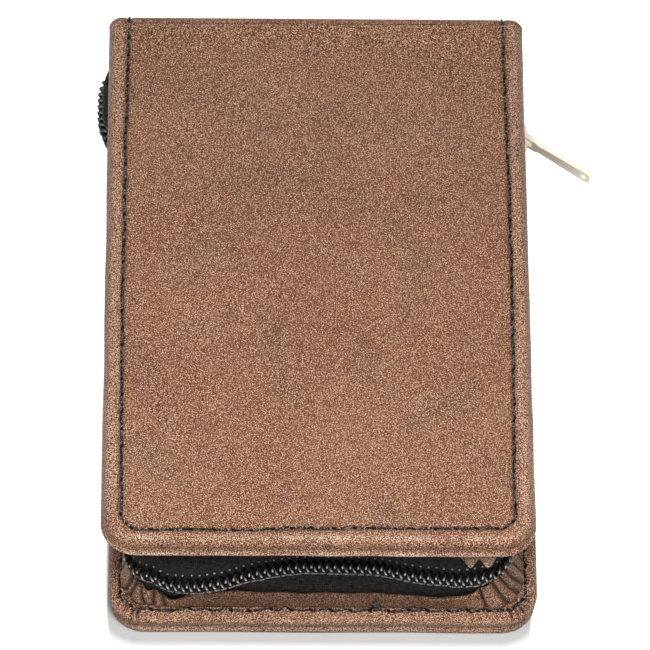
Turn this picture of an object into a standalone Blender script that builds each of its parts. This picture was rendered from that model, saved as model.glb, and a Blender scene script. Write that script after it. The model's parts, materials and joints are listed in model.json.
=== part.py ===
"""Zip-around manicure case with its tools, closed and lying on its back cover.

X runs across the case, +Y towards the spine and +Z up, in metres. The origin is the middle of
the flat underside. The case is one row of three leather panels (back cover, spine and front
cover) folded at two corners, closed by a coil zip on two leather side strips. The back cover
carries nail scissors and a large clipper, the front cover a small clipper, tweezers, a file
and a cuticle pusher, each under two elastic bands.
"""

import math

import bmesh
import bpy
import numpy as np
from mathutils import Matrix, Vector

MM = 0.001

# The whole case
CASE_WIDTH = 76 * MM
CASE_LENGTH = 114 * MM
CASE_HEIGHT = 30 * MM
PANEL_THICKNESS = 5 * MM
SPINE_THICKNESS = 3 * MM
FRONT_CORNER = 6.5 * MM
SPINE_CORNER = 2.5 * MM
EDGE_ROUND = 2.2 * MM
CONTACT_GAP = 0.3 * MM
CUT_OVERRUN = 4 * MM

# Layers of a padded panel
LEATHER = 0.9 * MM
FOAM = 1.2 * MM
BOARD = 1.1 * MM
LINING = 0.7 * MM
RIM_RETURN = 8 * MM
CORE_INSET = 2 * MM
STIFFENER = 0.6 * MM

# Side strips, zip tapes and zip coils, along the path round the three open sides
PATH_CORNER = 8.5 * MM
PATH_END_GAP = 0.5 * MM
STRIP_FOOT_INSET = 2.6 * MM
STRIP_THICKNESS = 0.8 * MM
STRIP_HEIGHT = 4 * MM
FLANGE_THICKNESS = 0.6 * MM
FLANGE_INSET = 7 * MM
KNEE_HEIGHT = 6.2 * MM
TAPE_THICKNESS = 0.5 * MM
TAPE_TUCK = 2.7 * MM
COIL_HEIGHT = 1.3 * MM
COIL_DEPTH = 1.1 * MM
COIL_PITCH = 2.6 * MM
COIL_ROOT_SHARE = 0.55
ROW_GAP = 0.9 * MM
TAPE_BACK = 0.3 * MM
CHAIN_INSET = 4.2 * MM
SLIDER_SIDE_INSET = 5 * MM
FRONT_WAVES = (
    (-18.5 * MM, 8 * MM, -3.2 * MM),
    (5 * MM, 8 * MM, 1.1 * MM),
    (23 * MM, 6 * MM, -1 * MM),
)
BULGE_PLACE = 46 * MM
BULGE_HALF_LENGTH = 8 * MM
BULGE_DEPTH = 5.2 * MM

# Zip slider and pull
SLIDER_PLACE = 40 * MM
SLIDER_LENGTH = 8 * MM
SLIDER_HEIGHT = 5.6 * MM
SLIDER_NOSE = 1.2 * MM
SLIDER_OUTER_PLATE = 1 * MM
SLIDER_INNER_PLATE = 0.8 * MM
SLIDER_FLANGE = 0.5 * MM
SLIDER_POST = 0.5 * MM
SLIDER_POST_LENGTH = 2.5 * MM
BRIDGE_REACH = 2.9 * MM
BRIDGE_BAR = 0.8 * MM
BRIDGE_HALF_LENGTH = 3.2 * MM
PULL_REACH = 14.8 * MM
PULL_THICKNESS = 1 * MM
PULL_NECK_WIDTH = 2 * MM
PULL_TIP_WIDTH = 2.8 * MM
PULL_EYE_HALF = 1.9 * MM
PULL_EYE_HEIGHT = 1.5 * MM
PULL_EYE_WALL = 0.7 * MM
PULL_TIP_HOLE = 0.7 * MM
PULL_ANGLE = math.radians(36.6)

# Elastic bands
BAND_THICKNESS = 0.6 * MM
BAND_WIDTH = 8 * MM
BAND_SEAM = 0.9 * MM
BAND_SHARED_SEAM = 1.3 * MM
BAND_SLANT = 1.05 * MM
BAND_CLEARANCE = 0.65 * MM
BAND_BEND = 0.8 * MM

# Nail scissors, with the pivot as their own origin and the blades towards the spine
SCISSORS_X = -10.6 * MM
SCISSORS_PLATE = 1.5 * MM
BLADE_LENGTH = 34 * MM
BLADE_WIDTH = 3.8 * MM
LOOP_SIDE = 9.9 * MM
LOOP_WIDTH = 9.3 * MM
LOOP_LENGTH = 12 * MM
LOOP_WALL = 2.3 * MM
SHANK_WIDTH = 3.4 * MM
SCREW_RADIUS = 1.2 * MM
SCREW_HEAD_RADIUS = 2.4 * MM
SCREW_HEAD = 0.7 * MM
SCREW_SLOT = 0.5 * MM
SCISSORS_OPENING = 5.5 * MM

# Clippers: length, width, plate, height of the upper arm at the pin
LARGE_CLIPPER_X = 20.6 * MM
LARGE_CLIPPER_SETBACK = 5 * MM
LARGE_CLIPPER_LENGTH = 78 * MM
LARGE_CLIPPER_WIDTH = 14 * MM
LARGE_CLIPPER_PLATE = 1.6 * MM
LARGE_CLIPPER_RISE = 9.1 * MM
SMALL_CLIPPER_X = -23.6 * MM
SMALL_CLIPPER_SETBACK = 15 * MM
SMALL_CLIPPER_LENGTH = 56 * MM
SMALL_CLIPPER_WIDTH = 10 * MM
SMALL_CLIPPER_PLATE = 1.2 * MM
SMALL_CLIPPER_RISE = 6.2 * MM
PIN_CLEARANCE = 0.3 * MM

# Tweezers, nail file and cuticle pusher
TWEEZERS_X = -11 * MM
TWEEZERS_LENGTH = 85 * MM
TWEEZERS_WIDTH = 8 * MM
TWEEZERS_TIP = 1.6 * MM
TWEEZERS_PLATE = 0.9 * MM
TWEEZERS_HEIGHT = 7 * MM
TWEEZERS_TIP_GAP = 1.6 * MM
FILE_X = -0.4 * MM
FILE_LENGTH = 92 * MM
FILE_WIDTH = 6.5 * MM
FILE_PLATE = 0.8 * MM
FILE_GRIP_LENGTH = 34 * MM
FILE_GRIP_HEIGHT = 2.8 * MM
FILE_TANG_WIDTH = 3.4 * MM
FILE_TANG_LENGTH = 20 * MM
PUSHER_X = 8.4 * MM
PUSHER_LENGTH = 92 * MM
PUSHER_RADIUS = 2 * MM
PUSHER_SPADE = 2.6 * MM
PUSHER_SPADE_LENGTH = 13 * MM
PUSHER_SPADE_PLATE = 1.2 * MM
PUSHER_POINT_LENGTH = 12 * MM
PUSHER_POINT = 0.5 * MM
PUSHER_RING = 0.3 * MM

# Room for the tools along the case, and the elastic bands' distances from what they hold
TOOL_ROOM = 7 * MM
TIP_ROOM = 5 * MM
BLADE_BAND_REACH = 12 * MM
SHANK_BAND_REACH = 23 * MM
CLIPPER_HEAD_BAND_REACH = 15 * MM
CLIPPER_TAIL_BAND_REACH = 12 * MM

# Heights and places that follow from the sizes above
MIDDLE = CASE_HEIGHT / 2
HALF_WIDTH = CASE_WIDTH / 2
HALF_LENGTH = CASE_LENGTH / 2
BOARD_TOP = PANEL_THICKNESS - LEATHER - CONTACT_GAP
LINING_LOW = BOARD_TOP + CONTACT_GAP
TOOL_BED = LINING_LOW + LINING + CONTACT_GAP
SPINE_INNER = HALF_LENGTH - SPINE_THICKNESS
SLIDER_X = HALF_WIDTH - SLIDER_SIDE_INSET
TOOL_FRONT = FLANGE_INSET + TOOL_ROOM - HALF_LENGTH
HANDLE_LENGTH = SPINE_INNER - TIP_ROOM - BLADE_LENGTH - TOOL_FRONT
SCISSORS_Y = TOOL_FRONT + HANDLE_LENGTH
LARGE_CLIPPER_Y = TOOL_FRONT + LARGE_CLIPPER_SETBACK
SMALL_CLIPPER_Y = TOOL_FRONT + SMALL_CLIPPER_SETBACK
BASE_UPPER_BAND_Y = SCISSORS_Y + BLADE_BAND_REACH
BASE_LOWER_BAND_Y = SCISSORS_Y - SHANK_BAND_REACH
COVER_UPPER_BAND_Y = SMALL_CLIPPER_Y + SMALL_CLIPPER_LENGTH - CLIPPER_HEAD_BAND_REACH
COVER_LOWER_BAND_Y = SMALL_CLIPPER_Y + CLIPPER_TAIL_BAND_REACH
CORNER_STEPS = 5
ROUND_STEPS = 4
SHARP_ANGLE = math.radians(35)


for old in list(bpy.data.objects):
    bpy.data.objects.remove(old)

CASE = bpy.data.collections.new("manicure_case")
CUTTERS = bpy.data.collections.new("cutters")
bpy.context.scene.collection.children.link(CASE)
bpy.context.scene.collection.children.link(CUTTERS)


def finish(name, colour, roughness, metallic=0.0):
    """One Principled material in the colour, roughness and metallic value of a finish."""
    material = bpy.data.materials.new(name)
    material.use_nodes = True
    shader = material.node_tree.nodes["Principled BSDF"]
    shader.inputs["Base Color"].default_value = (*colour, 1.0)
    shader.inputs["Roughness"].default_value = roughness
    shader.inputs["Metallic"].default_value = metallic
    return material


BROWN_LEATHER = finish("brown_leather", (0.36, 0.20, 0.15), 0.6)
GREY_BOARD = finish("grey_board", (0.45, 0.42, 0.38), 0.9)
WHITE_FOAM = finish("white_foam", (0.85, 0.84, 0.8), 0.95)
BLACK_LINING = finish("black_lining", (0.05, 0.045, 0.045), 0.85)
ZIP_TAPE = finish("zip_tape", (0.02, 0.02, 0.02), 0.9)
ZIP_COIL = finish("zip_coil", (0.025, 0.025, 0.03), 0.3)
BLACK_ELASTIC = finish("black_elastic", (0.03, 0.03, 0.03), 0.8)
PALE_GOLD = finish("pale_gold", (0.86, 0.78, 0.62), 0.25, 1.0)
TOOL_STEEL = finish("tool_steel", (0.75, 0.75, 0.76), 0.22, 1.0)
FILE_GRIT = finish("file_grit", (0.55, 0.55, 0.56), 0.6, 1.0)
GRIP_PLASTIC = finish("grip_plastic", (0.04, 0.04, 0.04), 0.4)


def frame_at(name, place, turn=(0.0, 0.0, 0.0)):
    """An empty that carries the pieces of one moving group."""
    frame = bpy.data.objects.new(name, None)
    frame.location = place
    frame.rotation_euler = turn
    CASE.objects.link(frame)
    return frame


def add_mesh(name, shape, material, collection=CASE):
    """Puts a bmesh into the scene as one named piece."""
    mesh = bpy.data.meshes.new(name)
    shape.to_mesh(mesh)
    shape.free()
    mesh.shade_smooth()
    mesh.set_sharp_from_angle(angle=SHARP_ANGLE)
    mesh.materials.append(material)
    piece = bpy.data.objects.new(name, mesh)
    collection.objects.link(piece)
    return piece


def cut_with(piece, cutter, operation="DIFFERENCE"):
    """Cuts, trims or joins a piece with another mesh object."""
    cutter.hide_render = True
    cutter.display_type = "WIRE"
    change = piece.modifiers.new(cutter.name, "BOOLEAN")
    change.operation = operation
    change.object = cutter
    change.solver = "EXACT"


def box(name, low, high, material=BLACK_LINING, collection=CUTTERS):
    """A plain box between two corners."""
    low = Vector(low)
    high = Vector(high)
    shape = bmesh.new()
    place = Matrix.Translation((low + high) / 2) @ Matrix.Diagonal((*(high - low), 1.0))
    bmesh.ops.create_cube(shape, size=1.0, matrix=place)
    return add_mesh(name, shape, material, collection)


def rod(name, centre, radius, low, high, material=TOOL_STEEL, collection=CUTTERS, sides=20):
    """An upright cylinder between two heights."""
    shape = bmesh.new()
    place = Matrix.Translation((centre[0], centre[1], (low + high) / 2))
    bmesh.ops.create_cone(
        shape,
        cap_ends=True,
        segments=sides,
        radius1=radius,
        radius2=radius,
        depth=high - low,
        matrix=place,
    )
    return add_mesh(name, shape, material, collection)


def arc(centre, radii, start, end, steps):
    """Points on an ellipse round centre, from one angle to another in degrees."""
    angles = np.radians(np.linspace(start, end, steps + 1))
    x = centre[0] + radii[0] * np.cos(angles)
    y = centre[1] + radii[1] * np.sin(angles)
    return list(zip(x.tolist(), y.tolist()))


def rounded(corners, radius, closed=True, steps=4):
    """Rounds the corners of an outline, each with a quadratic curve between two tangent points."""
    points = [Vector(corner) for corner in corners]
    count = len(points)
    line = []
    for index, corner in enumerate(points):
        if not closed and index in (0, count - 1):
            line.append(tuple(corner))
            continue
        before = points[index - 1] - corner
        after = points[(index + 1) % count] - corner
        reach = min(radius, before.length / 2.2, after.length / 2.2)
        start = corner + before.normalized() * reach
        end = corner + after.normalized() * reach
        for step in range(steps + 1):
            share = step / steps
            point = start * (1 - share) ** 2 + corner * 2 * share * (1 - share) + end * share**2
            line.append(tuple(point))
    return line


def ribbon(line, thickness):
    """The outline of a strip of even thickness along an open line."""
    points = np.array(line)
    steps = np.diff(points, axis=0)
    steps /= np.linalg.norm(steps, axis=1)[:, None]
    sides = np.column_stack((-steps[:, 1], steps[:, 0]))
    normals = np.vstack((sides[:1], sides[:-1] + sides[1:], sides[-1:]))
    normals /= np.linalg.norm(normals, axis=1)[:, None]
    lean = np.ones(len(points))
    lean[1:-1] = np.einsum("ij,ij->i", normals[1:-1], sides[1:])
    offset = normals * (thickness / 2 / lean)[:, None]
    return [tuple(p) for p in points + offset] + [tuple(p) for p in (points - offset)[::-1]]


def flat_piece(name, outlines, low, high, material, collection=CASE, turn=(0.0, 0.0, 0.0)):
    """A flat outline and its holes, filled and thick from low to high, turned into its plane."""
    curve = bpy.data.curves.new(name, "CURVE")
    curve.dimensions = "2D"
    curve.fill_mode = "BOTH"
    curve.extrude = (high - low) / 2
    for outline in outlines:
        spline = curve.splines.new("POLY")
        spline.points.add(len(outline) - 1)
        for point, place in zip(spline.points, outline):
            point.co = (place[0], place[1], 0.0, 1.0)
        spline.use_cyclic_u = True
    sheet = bpy.data.objects.new(name, curve)
    sheet.rotation_euler = turn
    sheet.location = sheet.rotation_euler.to_matrix() @ Vector((0.0, 0.0, (low + high) / 2))
    collection.objects.link(sheet)
    bpy.context.view_layer.update()
    filled = bpy.data.meshes.new_from_object(sheet.evaluated_get(bpy.context.evaluated_depsgraph_get()))
    filled.transform(sheet.matrix_world)
    bpy.data.objects.remove(sheet)
    shape = bmesh.new()
    shape.from_mesh(filled)
    bpy.data.meshes.remove(filled)
    bmesh.ops.remove_doubles(shape, verts=shape.verts, dist=CONTACT_GAP / 100)
    bmesh.ops.recalc_face_normals(shape, faces=shape.faces)
    return add_mesh(name, shape, material, collection)


ACROSS = (math.radians(90), 0.0, math.radians(90))
ALONG = (math.radians(90), 0.0, 0.0)


def panel_outline(inset, back):
    """The plan of a cover, set in by inset on three sides, with its back edge at back."""
    side = HALF_WIDTH - inset
    front = HALF_LENGTH - inset
    corner = FRONT_CORNER - min(inset, FRONT_CORNER / 2)
    line = arc((-side + corner, -front + corner), (corner, corner), 180, 270, CORNER_STEPS)
    line += arc((side - corner, -front + corner), (corner, corner), 270, 360, CORNER_STEPS)
    return line + [(side, back), (-side, back)]


def rounded_slab(low, high, front_corner, back_corner):
    """A box with round upright corners at the front and back and round edges all over."""
    low = Vector(low)
    high = Vector(high)
    shape = bmesh.new()
    place = Matrix.Translation((low + high) / 2) @ Matrix.Diagonal((*(high - low), 1.0))
    bmesh.ops.create_cube(shape, size=1.0, matrix=place)
    middle = (low.y + high.y) / 2
    for radius, is_front in ((front_corner, True), (back_corner, False)):
        edges = [
            edge
            for edge in shape.edges
            if abs(edge.verts[0].co.z - edge.verts[1].co.z) > (high.z - low.z) / 2
            and (edge.verts[0].co.y < middle) == is_front
        ]
        bmesh.ops.bevel(
            shape, geom=edges, offset=radius, segments=CORNER_STEPS, profile=0.5, affect="EDGES"
        )
    return shape


def round_level_edges(shape, heights, radius, behind=None):
    """Rounds the level edges that lie at the given heights, and behind a y where one is given."""
    near = CONTACT_GAP / 10
    edges = []
    for edge in shape.edges:
        ends = [vert.co for vert in edge.verts]
        level = any(all(abs(end.z - height) < near for end in ends) for height in heights)
        if level and (behind is None or all(end.y > behind for end in ends)):
            edges.append(edge)
    bmesh.ops.bevel(
        shape, geom=edges, offset=radius, segments=ROUND_STEPS, profile=0.5, affect="EDGES"
    )


def trim(shape, point, normal):
    """Cuts away what lies on the normal's side of a plane and closes the cut."""
    geometry = shape.verts[:] + shape.edges[:] + shape.faces[:]
    cut = bmesh.ops.bisect_plane(
        shape, geom=geometry, plane_co=point, plane_no=normal, clear_outer=True
    )
    rim = [item for item in cut["geom_cut"] if isinstance(item, bmesh.types.BMEdge)]
    bmesh.ops.contextual_create(shape, geom=rim)


def hollow_skin(name, shape, window_low, window_high):
    """A leather skin: the slab's outer surface made a wall, with a window on its inner side."""
    bmesh.ops.recalc_face_normals(shape, faces=shape.faces)
    skin = add_mesh(name, shape, BROWN_LEATHER)
    wall = skin.modifiers.new("leather", "SOLIDIFY")
    wall.thickness = LEATHER
    wall.offset = -1.0
    wall.use_even_offset = True
    cut_with(skin, box(name + "_window", window_low, window_high))
    skin.modifiers.new("triangles", "TRIANGULATE")


def fold_plane(top):
    """A point on a fold's 45 degree parting plane and the normal towards the spine."""
    height = CASE_HEIGHT - EDGE_ROUND if top else EDGE_ROUND
    lift = -1.0 if top else 1.0
    return Vector((0.0, HALF_LENGTH - EDGE_ROUND, height)), Vector((0.0, 1.0, lift)).normalized()


def cover(prefix, top):
    """One padded cover: leather skin, foam, board and lining, bottom one or its mirror on top."""
    low_z = CASE_HEIGHT - PANEL_THICKNESS if top else 0.0
    high_z = CASE_HEIGHT if top else PANEL_THICKNESS
    shape = rounded_slab(
        (-HALF_WIDTH, -HALF_LENGTH, low_z), (HALF_WIDTH, HALF_LENGTH, high_z), FRONT_CORNER, SPINE_CORNER
    )
    round_level_edges(shape, (low_z, high_z), EDGE_ROUND)
    point, normal = fold_plane(top)
    trim(shape, point - normal * CONTACT_GAP / 2, normal)
    core_back = HALF_LENGTH - PANEL_THICKNESS - LEATHER
    window_back = core_back - RIM_RETURN
    half = HALF_WIDTH - RIM_RETURN
    inner = low_z - CUT_OVERRUN if top else high_z - LEATHER - CONTACT_GAP / 2
    outer = low_z + LEATHER + CONTACT_GAP / 2 if top else high_z + CUT_OVERRUN
    hollow_skin(
        prefix + "_cover_leather",
        shape,
        (-half, -HALF_LENGTH + RIM_RETURN, inner),
        (half, window_back, outer),
    )

    def layer(name, outline, low, thickness, material):
        bottom = CASE_HEIGHT - low - thickness if top else low
        flat_piece(name, [outline], bottom, bottom + thickness, material)

    core = panel_outline(CORE_INSET, core_back)
    layer(prefix + "_foam", core, LEATHER + CONTACT_GAP, FOAM, WHITE_FOAM)
    layer(prefix + "_board", core, BOARD_TOP - BOARD, BOARD, GREY_BOARD)
    side = half - CONTACT_GAP
    front = -HALF_LENGTH + RIM_RETURN + CONTACT_GAP
    back = window_back - CONTACT_GAP
    lining = [(-side, front), (side, front), (side, back), (-side, back)]
    layer(prefix + "_lining", lining, LINING_LOW, LINING, BLACK_LINING)


def spine():
    """The spine panel between the two folds: skin, stiffener and lining."""
    shape = rounded_slab(
        (-HALF_WIDTH, SPINE_INNER, 0.0), (HALF_WIDTH, HALF_LENGTH, CASE_HEIGHT), LEATHER / 3, SPINE_CORNER
    )
    round_level_edges(shape, (0.0, CASE_HEIGHT), EDGE_ROUND, behind=SPINE_INNER + LEATHER / 3)
    for top in (False, True):
        point, normal = fold_plane(top)
        trim(shape, point + normal * CONTACT_GAP / 2, -normal)
    side = HALF_WIDTH - RIM_RETURN / 2
    ends = PANEL_THICKNESS + LEATHER
    window_depth = SPINE_INNER + LEATHER + CONTACT_GAP / 2
    hollow_skin(
        "spine_leather",
        shape,
        (-side, SPINE_INNER - CUT_OVERRUN, ends),
        (side, window_depth, CASE_HEIGHT - ends),
    )
    stiffener_y = HALF_LENGTH - LEATHER - CONTACT_GAP - STIFFENER
    reach = HALF_WIDTH - CORE_INSET - CONTACT_GAP
    low = PANEL_THICKNESS
    board = [(-reach, low), (reach, low), (reach, CASE_HEIGHT - low), (-reach, CASE_HEIGHT - low)]
    flat_piece(
        "spine_stiffener", [board], -stiffener_y - STIFFENER, -stiffener_y, GREY_BOARD, turn=ALONG
    )
    lining_y = stiffener_y - CONTACT_GAP - STIFFENER
    reach = side - CONTACT_GAP
    low = ends + CONTACT_GAP
    cloth = [(-reach, low), (reach, low), (reach, CASE_HEIGHT - low), (-reach, CASE_HEIGHT - low)]
    flat_piece("spine_lining", [cloth], -lining_y - STIFFENER, -lining_y, BLACK_LINING, turn=ALONG)


# The path of the side strips, from the spine's left end round the front to its right end
PATH_SIDE = SPINE_INNER - PATH_END_GAP + HALF_LENGTH - PATH_CORNER
PATH_BEND = math.radians(90) * (PATH_CORNER - CHAIN_INSET)
PATH_FRONT = CASE_WIDTH - PATH_CORNER * 2
PATH_LENGTH = PATH_SIDE * 2 + PATH_BEND * 2 + PATH_FRONT


def path_station(distance):
    """Anchor point and outward direction at a distance along the path."""
    half = HALF_WIDTH - PATH_CORNER
    front = -HALF_LENGTH + PATH_CORNER
    if distance <= PATH_SIDE:
        return (-half, front + PATH_SIDE - distance), math.radians(180)
    distance -= PATH_SIDE
    if distance <= PATH_BEND:
        return (-half, front), math.radians(180 + 90 * distance / PATH_BEND)
    distance -= PATH_BEND
    if distance <= PATH_FRONT:
        return (-half + distance, front), math.radians(270)
    distance -= PATH_FRONT
    if distance <= PATH_BEND:
        return (half, front), math.radians(270 + 90 * distance / PATH_BEND)
    return (half, front + distance - PATH_BEND), math.radians(360)


def chain_inset(distance):
    """How far in from the case's edge the zip lies, with its waves, left bulge and slider side."""
    (x, y), _ = path_station(distance)
    inset = CHAIN_INSET
    if distance < PATH_SIDE:
        inset -= BULGE_DEPTH * math.exp(-(((y - BULGE_PLACE) / BULGE_HALF_LENGTH) ** 4))
    for place, half_length, depth in FRONT_WAVES:
        along_front = PATH_SIDE < distance < PATH_LENGTH - PATH_SIDE
        if along_front:
            inset += depth * math.exp(-(((x - place) / half_length) ** 2))
    start = PATH_LENGTH - PATH_SIDE - PATH_BEND
    share = min(max((distance - start) / (PATH_BEND * 2), 0.0), 1.0)
    inset += (SLIDER_SIDE_INSET - CHAIN_INSET) * share * share * (3 - 2 * share)
    return inset


def wall_inset(distance, height):
    """Inset of the strip's middle line at a height above its foot, upright from the knee on."""
    share = min(max(height / KNEE_HEIGHT, 0.0), 1.0)
    return STRIP_FOOT_INSET + (chain_inset(distance) - STRIP_FOOT_INSET) * share


def path_point(distance, inset, height, top):
    """A point at an inset from the case's edge and a height above a cover's rim."""
    (x, y), angle = path_station(distance)
    reach = PATH_CORNER - inset
    z = PANEL_THICKNESS + CONTACT_GAP + height
    if top:
        z = CASE_HEIGHT - z
    return (x + reach * math.cos(angle), y + reach * math.sin(angle), z)


def loft(name, rings, material):
    """A closed body through equal rings of points, with flat ends.

    Each four-sided patch is split from its lower near point, so that neighbouring strips bend
    alike and keep their distance.
    """
    shape = bmesh.new()
    rows = [[shape.verts.new(point) for point in ring] for ring in rings]
    for near, far in zip(rows[:-1], rows[1:]):
        for index in range(len(near)):
            following = (index + 1) % len(near)
            here, there = near[index], near[following]
            ahead, beyond = far[index], far[following]
            if here.co.z < there.co.z:
                shape.faces.new((here, there, beyond))
                shape.faces.new((here, beyond, ahead))
            else:
                shape.faces.new((here, there, ahead))
                shape.faces.new((there, beyond, ahead))
    shape.faces.new(rows[0][::-1])
    shape.faces.new(rows[-1])
    bmesh.ops.recalc_face_normals(shape, faces=shape.faces)
    return add_mesh(name, shape, material)


def strip_stations():
    """Distances for the rings of a strip: close where it waves or turns, wide where straight."""
    bulge = np.linspace(0.0, PATH_SIDE * 0.24, 17)
    left = np.linspace(PATH_SIDE * 0.24, PATH_SIDE, 4)[1:]
    corner = PATH_SIDE + np.linspace(0.0, PATH_BEND, 7)[1:]
    front = PATH_SIDE + PATH_BEND + np.linspace(0.0, PATH_FRONT, 25)[1:]
    far_corner = front[-1] + np.linspace(0.0, PATH_BEND * 2, 11)[1:]
    right = np.linspace(far_corner[-1], PATH_LENGTH, 4)[1:]
    return np.concatenate((bulge, left, corner, front, far_corner, right)).tolist()


def side_strip(prefix, top):
    """Leather side strip, zip tape and zip coil of one cover."""
    half_wall = STRIP_THICKNESS / 2
    row_height = MIDDLE - PANEL_THICKNESS - CONTACT_GAP - ROW_GAP / 2
    knee = KNEE_HEIGHT
    tape_top = row_height - TAPE_BACK
    tape_out = half_wall + CONTACT_GAP
    tape_in = tape_out + TAPE_THICKNESS
    tuck = STRIP_HEIGHT - TAPE_TUCK

    strip_rings = []
    tape_rings = []
    for distance in strip_stations():
        at = lambda inset, height: path_point(distance, inset, height, top)
        foot = STRIP_FOOT_INSET
        strip_top = wall_inset(distance, STRIP_HEIGHT)
        bend = wall_inset(distance, FLANGE_THICKNESS)
        chain = chain_inset(distance)
        strip_rings.append(
            [
                at(FLANGE_INSET, 0.0),
                at(foot - half_wall, 0.0),
                at(strip_top - half_wall, STRIP_HEIGHT),
                at(strip_top + half_wall, STRIP_HEIGHT),
                at(bend + half_wall, FLANGE_THICKNESS),
                at(FLANGE_INSET, FLANGE_THICKNESS),
            ]
        )
        low = wall_inset(distance, tuck)
        tape_rings.append(
            [
                at(low + tape_out, tuck),
                at(chain + tape_out, knee),
                at(chain + tape_out, tape_top),
                at(chain + tape_in, tape_top),
                at(chain + tape_in, knee),
                at(low + tape_in, tuck),
            ]
        )
    loft(prefix + "_side_strip", strip_rings, BROWN_LEATHER)
    loft(prefix + "_zip_tape", tape_rings, ZIP_TAPE)

    teeth = round(PATH_LENGTH / COIL_PITCH)
    back = half_wall
    root = back - COIL_DEPTH * COIL_ROOT_SHARE
    face = back - COIL_DEPTH
    low = row_height - COIL_HEIGHT
    root_top = row_height - COIL_HEIGHT * COIL_ROOT_SHARE
    coil_rings = []
    for step in range(teeth * 2 + 1):
        distance = PATH_LENGTH * step / (teeth * 2)
        chain = chain_inset(distance)
        outer, height = (face, row_height) if step % 2 else (root, root_top)
        coil_rings.append(
            [
                path_point(distance, chain + back, low, top),
                path_point(distance, chain + outer, low, top),
                path_point(distance, chain + outer, height, top),
                path_point(distance, chain + back, height, top),
            ]
        )
    loft(prefix + "_zip_coil", coil_rings, ZIP_COIL)


def zip_slider():
    """Slider on the right side: two plates, the post between the rows, a flange and the bridge."""
    channel_out = SLIDER_X + COIL_DEPTH - STRIP_THICKNESS / 2 + CONTACT_GAP
    tape_inner = SLIDER_X - STRIP_THICKNESS / 2 - CONTACT_GAP - TAPE_THICKNESS
    channel_in = tape_inner - CONTACT_GAP
    slot_out = SLIDER_X - STRIP_THICKNESS / 2
    out = channel_out + SLIDER_OUTER_PLATE
    half = SLIDER_LENGTH / 2
    low = -SLIDER_HEIGHT / 2
    plan = [(-half, low + SLIDER_NOSE), (half, low), (half, -low), (-half, -low - SLIDER_NOSE)]
    frame = frame_at("slider_frame", (0.0, SLIDER_PLACE, MIDDLE))
    plate = flat_piece(
        "zip_slider",
        [rounded(plan, SLIDER_NOSE)],
        channel_in - SLIDER_INNER_PLATE,
        out,
        PALE_GOLD,
        turn=ACROSS,
    )
    plate.parent = frame
    far = CUT_OVERRUN
    post_start = half - SLIDER_POST_LENGTH
    floor = low + SLIDER_FLANGE
    post = SLIDER_POST / 2
    cuts = (
        ("chain_way", (channel_in, -half - far, floor), (channel_out, post_start, -low + far)),
        ("lower_way", (channel_in, post_start - post, floor), (channel_out, half + far, -post)),
        ("upper_way", (channel_in, post_start - post, post), (channel_out, half + far, -low + far)),
        ("tape_way", (channel_in, -half - far, low - far), (slot_out, half + far, floor + post)),
    )
    for name, start, end in cuts:
        cutter = box("slider_" + name, start, end)
        cutter.parent = frame
        cut_with(plate, cutter)
    axis = out + BRIDGE_REACH
    rise = axis + BRIDGE_BAR / 2
    span = BRIDGE_HALF_LENGTH - BRIDGE_BAR / 2
    sunk = out - SLIDER_OUTER_PLATE / 2
    line = rounded(
        [(sunk, -span), (axis, -span), (axis, span), (sunk, span)], BRIDGE_BAR * 1.2, closed=False
    )
    bridge = flat_piece(
        "slider_bridge", [ribbon(line, BRIDGE_BAR)], -BRIDGE_BAR / 2, BRIDGE_BAR / 2, PALE_GOLD, CUTTERS
    )
    bridge.parent = frame
    cut_with(plate, bridge, "UNION")
    return axis


def zip_pull(axis):
    """The slim pull, with an eye round the slider's bridge and a small hole near its tip."""
    frame = frame_at("pull_frame", (axis, SLIDER_PLACE, MIDDLE), (0.0, 0.0, -PULL_ANGLE))
    end = PULL_EYE_HALF + PULL_EYE_WALL
    eye = PULL_EYE_HEIGHT / 2
    head = eye + PULL_EYE_WALL
    neck = PULL_NECK_WIDTH / 2
    tip = PULL_TIP_WIDTH / 2
    shoulder = end + PULL_EYE_WALL
    outline = [(-end, -head), (end, -head), (shoulder, -neck), (PULL_REACH, -tip)]
    outline += [(x, -z) for x, z in outline[::-1]]
    hole = rounded(
        [
            (-PULL_EYE_HALF, -eye),
            (PULL_EYE_HALF, -eye),
            (PULL_EYE_HALF, eye),
            (-PULL_EYE_HALF, eye),
        ],
        eye / 2,
        steps=2,
    )
    tip_hole = arc((PULL_REACH - tip, 0.0), (PULL_TIP_HOLE, PULL_TIP_HOLE), 0, 345, 23)
    half = PULL_THICKNESS / 2
    pull = flat_piece(
        "zip_pull", [rounded(outline, neck), hole, tip_hole], -half, half, PALE_GOLD, turn=ALONG
    )
    pull.parent = frame


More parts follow.
